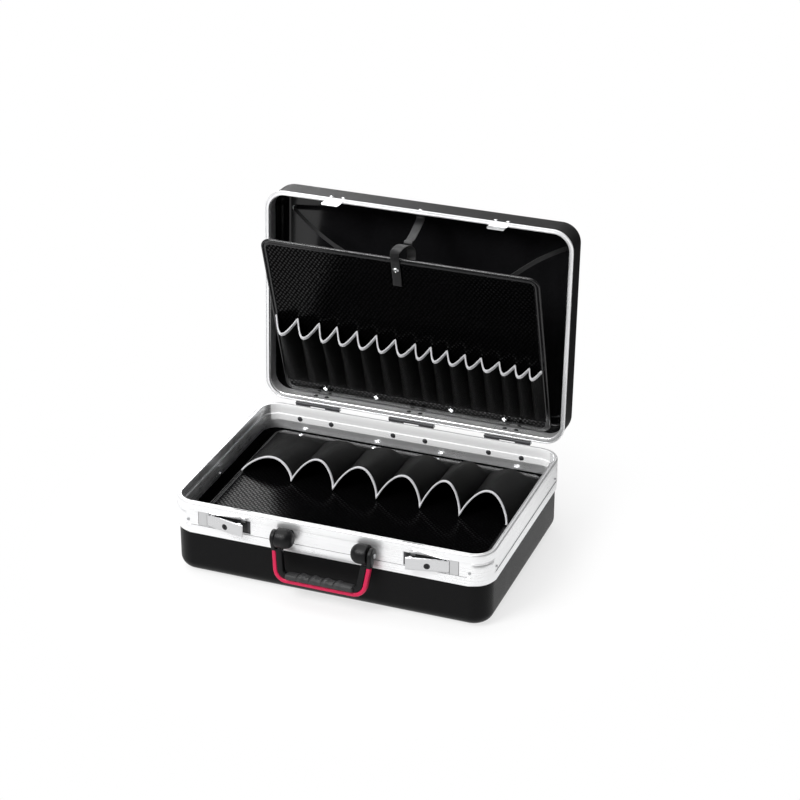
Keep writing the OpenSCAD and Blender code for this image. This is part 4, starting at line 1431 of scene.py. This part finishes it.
@dataclass
class ToolBoard:
    """A stiff vinyl-covered board with a welded double border."""

    where: Where
    width: float
    length: float
    low: float
    radius: float = 16.0
    thick: float = 3.0
    soft: float = 0.8
    inset: float = 7.0

    @property
    def place(self) -> Plane:
        """Takes (x, along, out) points to the board's place."""
        return LID_BOARD if self.where is Where.LID else BASE_BOARD

    @property
    def body(self) -> str:
        """The body that carries the board."""
        return "lid_board" if self.where is Where.LID else "base_board"

    def build(self) -> None:
        """Build the board and its border.

        The border's section is an arc round the board's edge, a seam, a bead that rises as
        the sine of its share, and an underside that clasps the board.
        """
        centre = (0.0, self.low + self.length / 2)
        ring = Ring.rounded(self.width, self.length, self.radius, 16, 12)
        slab = np.array([[-self.inset, -self.thick], [-self.soft, -self.thick], [0, self.soft - self.thick],
                         [0, -self.soft], [-self.soft, 0], [-self.inset, 0]])
        form = Form(f"{self.body}_panel")
        capped(form, ring.sweep(slab, centre), ring.points - self.inset * ring.normals)
        piece = form.build([VINYL], self.place)
        hand_over(piece, self.body, [self.body])
        edge = quarter(2.2, -80, 125, 12, -1.6, -1.05)
        seam = np.array([[-4.2, 0.12], [-4.9, 0.12]])
        swell = np.sin(np.linspace(0.25, np.pi, 8)) ** 0.8
        bead = np.stack([np.linspace(-5.3, -8.8, 8), 0.12 + 0.95 * swell], axis=-1)
        under = np.array([[-8.9, 0.03], [-2.2, 0.03], [-1.0, -1.0], [-1.0, -2.6]])
        form = Form(f"{self.body}_border")
        form.grid(ring.sweep(np.concatenate([edge, seam, bead, under]), centre), wrap=(True, True))
        piece = form.build([BORDER], self.place, crease=50)
        hand_over(piece, self.body, [f"{self.body}_trim"])


@dataclass
class PocketRow:
    """A row of pockets sewn from one strip of cloth, its mouth bound with tape.

    The cloth starts a hem's length inside the mouth, and lies clear of the board by a
    small gap, and never closer than the least one.
    """

    board: ToolBoard
    seams: tuple[float, ...] = ()
    parts: tuple[str, ...] = ()
    facing: float = 1.0
    foot: float = 0.0
    tape_half: float = 2.0
    tape_lift: float = 2.5
    tape_thick: float = 1.35
    crumple: float = 1.0
    sway: float = 1.0
    down: int = 40
    seed: int = 3
    across: int = 17
    hem: float = 1.2
    clear: float = 1.1
    least: float = 0.5

    def columns(self) -> tuple[Array, Array, Array]:
        """Place columns of the strip.

        Inside a pocket the share s runs as (1 - cos(pi q)) / 2, so that columns crowd at
        the seams where the cloth stands steep.

        Returns:
            Each column's x, its share of the pocket's width, and its pocket's number.
        """
        q = np.linspace(0, 1, self.across)[:-1]
        s = (1 - np.cos(np.pi * q)) / 2
        left, right = np.array(self.seams[:-1]), np.array(self.seams[1:])
        x = left[:, None] + (right - left)[:, None] * s[None]
        number = np.repeat(np.arange(len(left)), len(q))
        return (np.r_[x.ravel(), self.seams[-1]], np.r_[np.tile(s, len(left)), 1.0],
                np.r_[number, len(left) - 1])

    def folds(self, s: Array, t: Array, number: Array) -> Array:
        """Depth of the folds, from -1 to 1 and still at the seams, the mouth and the foot.

        Each pocket has creases that start at its mouth and drift towards its foot, and a
        shallow cross sag, all with their own phase from a seeded generator.

        Args:
            s: each column's share of the pocket's width.
            t: each row's share of the way from the mouth to the foot.
            number: each column's pocket.

        Returns:
            Columns x rows.
        """
        rng = np.random.default_rng(self.seed)
        phase = rng.uniform(0, 1, (len(self.seams) - 1, 4))[number]
        drift = (phase[:, 0:1] - 0.5) * 0.9
        lane = np.sin(2 * np.pi * (1.35 * s[:, None] + drift * t[None] + phase[:, 1:2]))
        sharp = np.sign(lane) * np.abs(lane) ** 1.6
        sag = np.sin(2 * np.pi * (0.9 * t[None] + phase[:, 2:3] + 0.35 * s[:, None]))
        quiet = hoop(s, 0.8)[:, None] * np.sin(np.pi * t)[None] ** 0.8
        return (0.75 * sharp + 0.35 * sag) * quiet

    def mouth(self, x: Array, s: Array, number: Array) -> tuple[Array, Array, Array]:
        """Lay out the mouth; each kind of row has its own.

        Args:
            x: each column's place.
            s: its share of the pocket's width.
            number: its pocket's number.

        Returns:
            Each column's offset along X, place along the board and height.
        """
        raise NotImplementedError

    def profile(self, t: Array) -> Array:
        """Height at each share of the way from the mouth to the foot, 1 at the mouth."""
        raise NotImplementedError

    def cloth(self) -> tuple[Array, Array]:
        """The strip's points and the path of its mouth, in the board's own axes.

        Between the mouth and the foot the cloth keeps its share of the way, its height is
        the mouth's times the profile, and the folds move it out and sideways.

        Returns:
            Columns x rows x 3 points, and one point of the binding's middle for each column.
        """
        x, s, number = self.columns()
        t = np.linspace(0, 1, self.down)
        wrinkle = self.folds(s, t, number)
        skew, start, crest = self.mouth(x, s, number)
        along = start[:, None] + self.facing * self.hem
        along = along + (self.foot - along) * t[None]
        rise = self.clear + crest[:, None] * self.profile(t)[None] + self.crumple * wrinkle
        sway = self.sway * wrinkle * np.cos(np.pi * s)[:, None] + skew[:, None] * (1 - t[None])
        path = np.stack([x + skew, start, self.tape_lift + crest], axis=-1)
        return np.stack([x[:, None] + sway, along, np.maximum(rise, self.least)], axis=-1), path

    def tape(self) -> Array:
        """Section of the binding: folded tape with a groove between two ridges.

        Its front and back stand proud by a flattened sine, less a bell-shaped dip of
        0.5 mm along the middle.

        Returns:
            (a, b) pairs, a along the cloth and b out of it.
        """
        turn = np.linspace(0, np.pi, 13)
        a = self.tape_half * np.cos(turn)
        b = self.tape_thick * np.sin(turn) ** 0.45 - 0.5 * np.exp(-((a / 0.55) ** 2))
        return np.concatenate([np.stack([a, b], -1), np.stack([a[::-1], -b[::-1]], -1)[1:-1]])

    def build(self) -> None:
        """Build the cloth and its binding on the board."""
        points, mouth = self.cloth()
        body, name = self.board.body, self.board.where.value
        form = Form(f"{name}_pocket_cloth")
        form.grid(points)
        cloth = form.build([CLOTH], self.board.place, crease=180)
        thick = cloth.modifiers.new("cloth", "SOLIDIFY")
        thick.thickness, thick.offset = 0.9 * MM, 0.0
        hand_over(cloth, body, [f"{name}_pockets_{part}" for part in self.parts])
        form = Form(f"{name}_pocket_binding")
        tube(form, carried(mouth, np.array([0.0, self.facing, 0.0]), self.tape()))
        binding = form.build([BINDING], self.board.place, crease=60)
        hand_over(binding, body, [f"{name}_piping"])


@dataclass
class BasePockets(PocketRow):
    """Six wide pockets that lie on the base board, their mouths towards the handle."""

    seams: tuple[float, ...] = (-212, -130, -62, 8, 77, 139, 212)
    parts: tuple[str, ...] = ("left", "right")
    foot: float = 147.8
    tape_half: float = 1.9
    tape_lift: float = 2.7
    crumple: float = 2.6
    sway: float = 1.6
    across: int = 25
    crests: tuple[float, ...] = (23.5, 34.8, 36.3, 37.0, 42.2, 40.0)
    mouth_at: float = 4.0
    mouth_slope: float = -0.0357
    mouth_lean: float = 16.2
    mouth_skew: float = 3.6

    def mouth(self, x: Array, s: Array, number: Array) -> tuple[Array, Array, Array]:
        """Arches as high as each pocket's crest, which lean back and to the right.

        Args:
            x: each column's place.
            s: its share of the pocket's width.
            number: its pocket's number.

        Returns:
            Each column's offset along X, place along the board and height.
        """
        arch = hoop(s, 0.74)
        start = self.mouth_at + self.mouth_slope * x + self.mouth_lean * hoop(s, 0.54)
        return self.mouth_skew * arch, start, np.array(self.crests)[number] * arch

    def profile(self, t: Array) -> Array:
        """A long fall, 1 - 0.66 t^1.2, that ends in a smooth step down to the board."""
        return (1 - 0.66 * t**1.2) * (1 - smoothstep(0.84, 1.0, t))


@dataclass
class LidPockets(PocketRow):
    """Fifteen narrow pockets that stand on the lid board, shallower towards the right."""

    seams: tuple[float, ...] = (-210, -175, -140, -111.5, -79.5, -48.5, -18.5, 13, 37.5, 63, 91, 116,
                                144, 168.5, 190.5, 209)
    parts: tuple[str, ...] = ("left", "middle", "right")
    facing: float = -1.0
    foot: float = 22.0
    tape_half: float = 2.7
    tape_lift: float = 2.4
    crumple: float = 0.9
    down: int = 36
    seed: int = 8
    half: float = 210.0
    mouth_high: float = 152.5
    mouth_drop: float = 28.4
    dip: tuple[float, float] = (12.5, 1.5)
    bulge: tuple[float, float] = (27.0, 18.0)

    def mouth(self, x: Array, s: Array, number: Array) -> tuple[Array, Array, Array]:
        """Scallops that hang from the seams; their dip and bulge go from first to last.

        Args:
            x: each column's place.
            s: its share of the pocket's width.
            number: its pocket's number, which makes no difference here.

        Returns:
            Each column's offset along X, place along the board and height.
        """
        share = (x + self.half) / (2 * self.half)
        dip, bulge = (first + (last - first) * share for first, last in (self.dip, self.bulge))
        start = self.mouth_high - self.mouth_drop * share - dip * hoop(s, 0.95)
        return np.zeros(len(x)), start, bulge * hoop(s, 1.1)

    def profile(self, t: Array) -> Array:
        """A straight fall, 1 - 0.72 t, that ends in a smooth step down to the board."""
        return (1 - 0.72 * t) * (1 - smoothstep(0.9, 1.0, t))


@dataclass(frozen=True)
class Stay:
    """A stay: its ends on the shut lid and on the board, its sag and its lean along X."""

    word: str
    on_lid: tuple[float, float, float]
    on_board: tuple[float, float, float]
    sag: float
    lean: float


@dataclass
class Straps:
    """The strap that holds the lid board up, and the two stays behind it.

    Each size is half a strap's width or thickness.
    """

    loop_half: float = 6.8
    loop_thick: float = 0.9
    strap_half: float = 6.5
    strap_thick: float = 0.8
    stay_half: float = 3.6
    stay_thick: float = 0.6
    strap_on_lid: tuple[float, float, float] = (4.0, -159.2, 127.6)
    strap_on_board: tuple[float, float, float] = (15.0, 320.0, -14.5)
    stays: tuple[Stay, ...] = (
        Stay("left", (-217.0, -125.0, 172.2), (-79.0, 288.0, -5.4), -6.0, 0.3),
        Stay("right", (228.0, -135.0, 148.6), (170.0, 290.0, -5.4), 5.0, -0.3),
    )

    def ribbon(self, name: str, path: Array, side: Array, half: float, thick: float) -> bpy.types.Object:
        """Build a flat strap with softly rounded edges along a path.

        Args:
            name: of the piece.
            path: its middle line.
            side: its width's direction.
            half: half its width.
            thick: half its thickness.

        Returns:
            The strap.
        """
        form = Form(name)
        tube(form, carried(path, side, rounded_section(half, thick, 5.0, 20)))
        return form.build([STRAP], crease=60)

    def build_loop(self) -> None:
        """Build the band that comes up the board's face, arches over its edge and goes down behind."""
        path = smooth_path([
            (-2.6, 250, 3.4), (-2.2, 262, 2.6), (-2, 279, 2.2), (-1.6, 296, 2.6), (-0.6, 307, 5),
            (1.6, 315, 6), (5, 319.4, 3.4), (9, 321, -2), (13, 319, -8), (16.4, 313.6, -12.4),
            (18.4, 305.6, -14), (19.2, 297, -11.6), (19.4, 290, -6.4), (19.4, 284, -4.4), (19.4, 278, -4.1),
        ], 110)
        piece = self.ribbon("strap_loop_band", LID_BOARD(path), ALONG_X, self.loop_half, self.loop_thick)
        hand_over(piece, "lid_board", ["strap_loop"])

    def build_strap(self) -> None:
        """Build the strap from the lid's rim down through the loop."""
        start = LID(np.array(self.strap_on_lid))
        end = LID_BOARD(np.array(self.strap_on_board))
        path = smooth_path([start + [0, 0, 1], start + [0, 0.4, -6], start * 0.6 + end * 0.4 + [0, 3, -6],
                            start * 0.2 + end * 0.8 + [0, 3, -4], end, end + [0, 1.2, -9]], 50)
        piece = self.ribbon("lid_strap", path, ALONG_X, self.strap_half, self.strap_thick)
        hand_over(piece, None, ["centre_strap"])
        tuple(start * MM)
        tuple(end * MM)
        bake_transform(piece)

    def build_stay(self, stay: Stay) -> None:
        """Build one stay, a soft curve from the lid's side to the back of the board.

        Args:
            stay: where it starts, ends and sags.
        """
        a, b = LID(np.array(stay.on_lid)), LID_BOARD(np.array(stay.on_board))
        path = smooth_path([a, a * 0.75 + b * 0.25 + [0, 0, stay.sag * 0.7], (a + b) / 2 + [0, 0, stay.sag],
                            a * 0.25 + b * 0.75 + [0, 0, stay.sag * 0.7], b], 40)
        side = np.array([stay.lean, -0.25, 1.0])
        piece = self.ribbon(f"lid_stay_{stay.word}", path, side, self.stay_half, self.stay_thick)
        hand_over(piece, None, [f"stay_{stay.word}"])
        tuple(a * MM)
        tuple(b * MM)
        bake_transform(piece)

    def build(self) -> None:
        """Build the loop over the board, the strap and the stays."""
        self.build_loop()
        self.build_strap()
        for stay in self.stays:
            self.build_stay(stay)


# ---------------------------------------------------------------- studio
@dataclass(frozen=True)
class Lamp:
    """A square soft lamp, its place and size in metres and its energy in watts."""

    name: str
    at: tuple[float, float, float]
    size: float
    watts: float

    def hang(self, aim: Vector) -> None:
        """Hang the lamp.

        Args:
            aim: the point that it is turned to, in metres.
        """
        data = bpy.data.lights.new(self.name, "AREA")
        data.size, data.energy = self.size, self.watts
        lamp = bpy.data.objects.new(self.name, data)
        turn = (aim - Vector(self.at)).to_track_quat("-Z", "Y").to_matrix().to_4x4()
        lamp.matrix_world = Matrix.Translation(self.at) @ turn
        bpy.context.scene.collection.objects.link(lamp)


@dataclass
class Studio:
    """Camera, sky, floor and lamps, in degrees and millimetres."""

    azimuth: float = 20.87
    elevation: float = 26.69
    distance: float = 3376.19
    shift: tuple[float, float] = (43.86, 79.54)
    lens: float = 104.4
    sensor: float = 36.0
    aim_height: float = 150.0
    floor_drop: float = 0.4
    floor_reach: float = 9000.0
    lamps: tuple[Lamp, ...] = (
        Lamp("top_soft", (-0.3, 0.3, 2.6), 2.6, 38.0),
        Lamp("front_soft", (-1.0, -1.9, 2.2), 1.1, 74.0),
        Lamp("back_soft", (-1.15, 1.8, 1.15), 0.8, 10.0),
    )

    def camera(self) -> None:
        """Set the camera by its azimuth, elevation and distance about the object.

        Its aim is moved to the right and up by the shift, so that the case lies in the
        picture where the photograph has it.
        """
        a, e = math.radians(self.azimuth), math.radians(self.elevation)
        back = Vector((math.sin(a) * math.cos(e), -math.cos(a) * math.cos(e), math.sin(e)))
        right = (-back).cross(Vector((0, 0, 1))).normalized()
        up = right.cross(-back)
        target = Vector((0, 0, self.aim_height)) + right * self.shift[0] + up * self.shift[1]
        data = bpy.data.cameras.new("view")
        data.sensor_width, data.lens = self.sensor, self.lens
        data.clip_start, data.clip_end = 0.05, 60.0
        camera = bpy.data.objects.new("view", data)
        turn = Matrix((right, up, back)).transposed().to_4x4()
        camera.matrix_world = Matrix.Translation((target + back * self.distance) * MM) @ turn
        bpy.context.scene.collection.objects.link(camera)
        bpy.context.scene.camera = camera

    def sky(self) -> None:
        """White for the camera, and for other rays a soft dome, dim in front and at the right."""
        world = bpy.data.worlds.new("studio")
        bpy.context.scene.world = world
        bench = Bench(world)
        way = bench.node("SeparateXYZ", {}, {0: bench.node("TexCoord")["Generated"]})
        rear, top = way[1].step(-0.75, 0.35, 0.4, 0.7), way[2].step(0.2, 1.0, 0.0, 0.3)
        glow = (rear + top) * way[0].step(0.0, 0.6, 1.0, 0.25)
        dome = bench.node("Background", {}, {"Strength": glow})
        white = bench.node("Background", {}, {"Color": (1, 1, 1), "Strength": 1.0})
        seen = bench.node("LightPath")["Is Camera Ray"]
        mixed = bench.node("MixShader", {}, {0: seen, 1: dome[0], 2: white[0]})
        bench.node("OutputWorld", {}, {"Surface": mixed[0]})

    def floor(self) -> None:
        """Lay the pale floor.

        The camera sees it go over to pure white away from the case. In the case's gloss it
        is white in front, and dim behind the case and in a patch at the right.
        """
        form = Form("studio_floor")
        line = np.linspace(-self.floor_reach, self.floor_reach, 3)
        x, y = np.meshgrid(line, line, indexing="ij")
        form.grid(np.stack([x, y, np.full(x.shape, -self.floor_drop)], axis=-1))
        piece = form.build([])
        bench = MaterialBench("studio_floor")
        bench.set(Base_Color=(0.86, 0.86, 0.86), Roughness=0.9, Specular_IOR_Level=0.1)
        at = bench.node("TexCoord")["Object"]
        away = bench.node("VectorMath", {"operation": "LENGTH"}, {0: at})["Value"]
        patch = bench.node("VectorMath", {"operation": "DISTANCE"}, {0: at, 1: (0.66, -0.46, 0.0)})["Value"]
        behind = bench.node("SeparateXYZ", {}, {0: at})[1].step(0.12, 0.6)
        dark = (behind + patch.step(0.1, 0.26, 0.9, 0.0)).lowest(1.0)
        white = bench.node("Emission", {}, {"Color": (1, 1, 1), "Strength": 1.0})[0]
        dim = bench.node("Emission", {}, {"Color": (1, 1, 1), "Strength": 0.1})[0]
        ray = bench.node("LightPath")
        far = ray["Is Camera Ray"] * away.step(0.2, 0.52, 0.7, 1.0)
        lit = Signal(bench, bench.shader.outputs[0])
        seen = bench.node("MixShader", {}, {0: far, 1: lit, 2: white})[0]
        mirrored = bench.node("MixShader", {}, {0: dark, 1: white, 2: dim})[0]
        mixed = bench.node("MixShader", {}, {0: ray["Is Glossy Ray"], 1: seen, 2: mirrored})[0]
        bench.feed(bench.end.inputs["Surface"], mixed)
        piece.data.materials.append(bench.material)

    def build(self) -> None:
        """Set the whole studio up."""
        self.camera()
        self.sky()
        self.floor()
        for lamp in self.lamps:
            lamp.hang(Vector((0, 0, self.aim_height)) * MM)
        bpy.context.scene.view_settings.view_transform = "Standard"


def main() -> None:
    """Build the studio and every sub-assembly in order, and log each one as done."""
    logging.basicConfig(level=logging.INFO, format="%(message)s")
    base = ToolBoard(Where.BASE, width=434.0, length=317.8, low=-158.0)
    lid = ToolBoard(Where.LID, width=431.0, length=298.0, low=0.0)
    for part in (Studio(), CaseShells(), RimFrames(), Hardware(), CarryHandle(), base, lid,
                 BasePockets(base), LidPockets(lid), Straps()):
        part.build()
        LOG.info("%s: done", type(part).__name__)


if __name__ == "__main__":
    main()
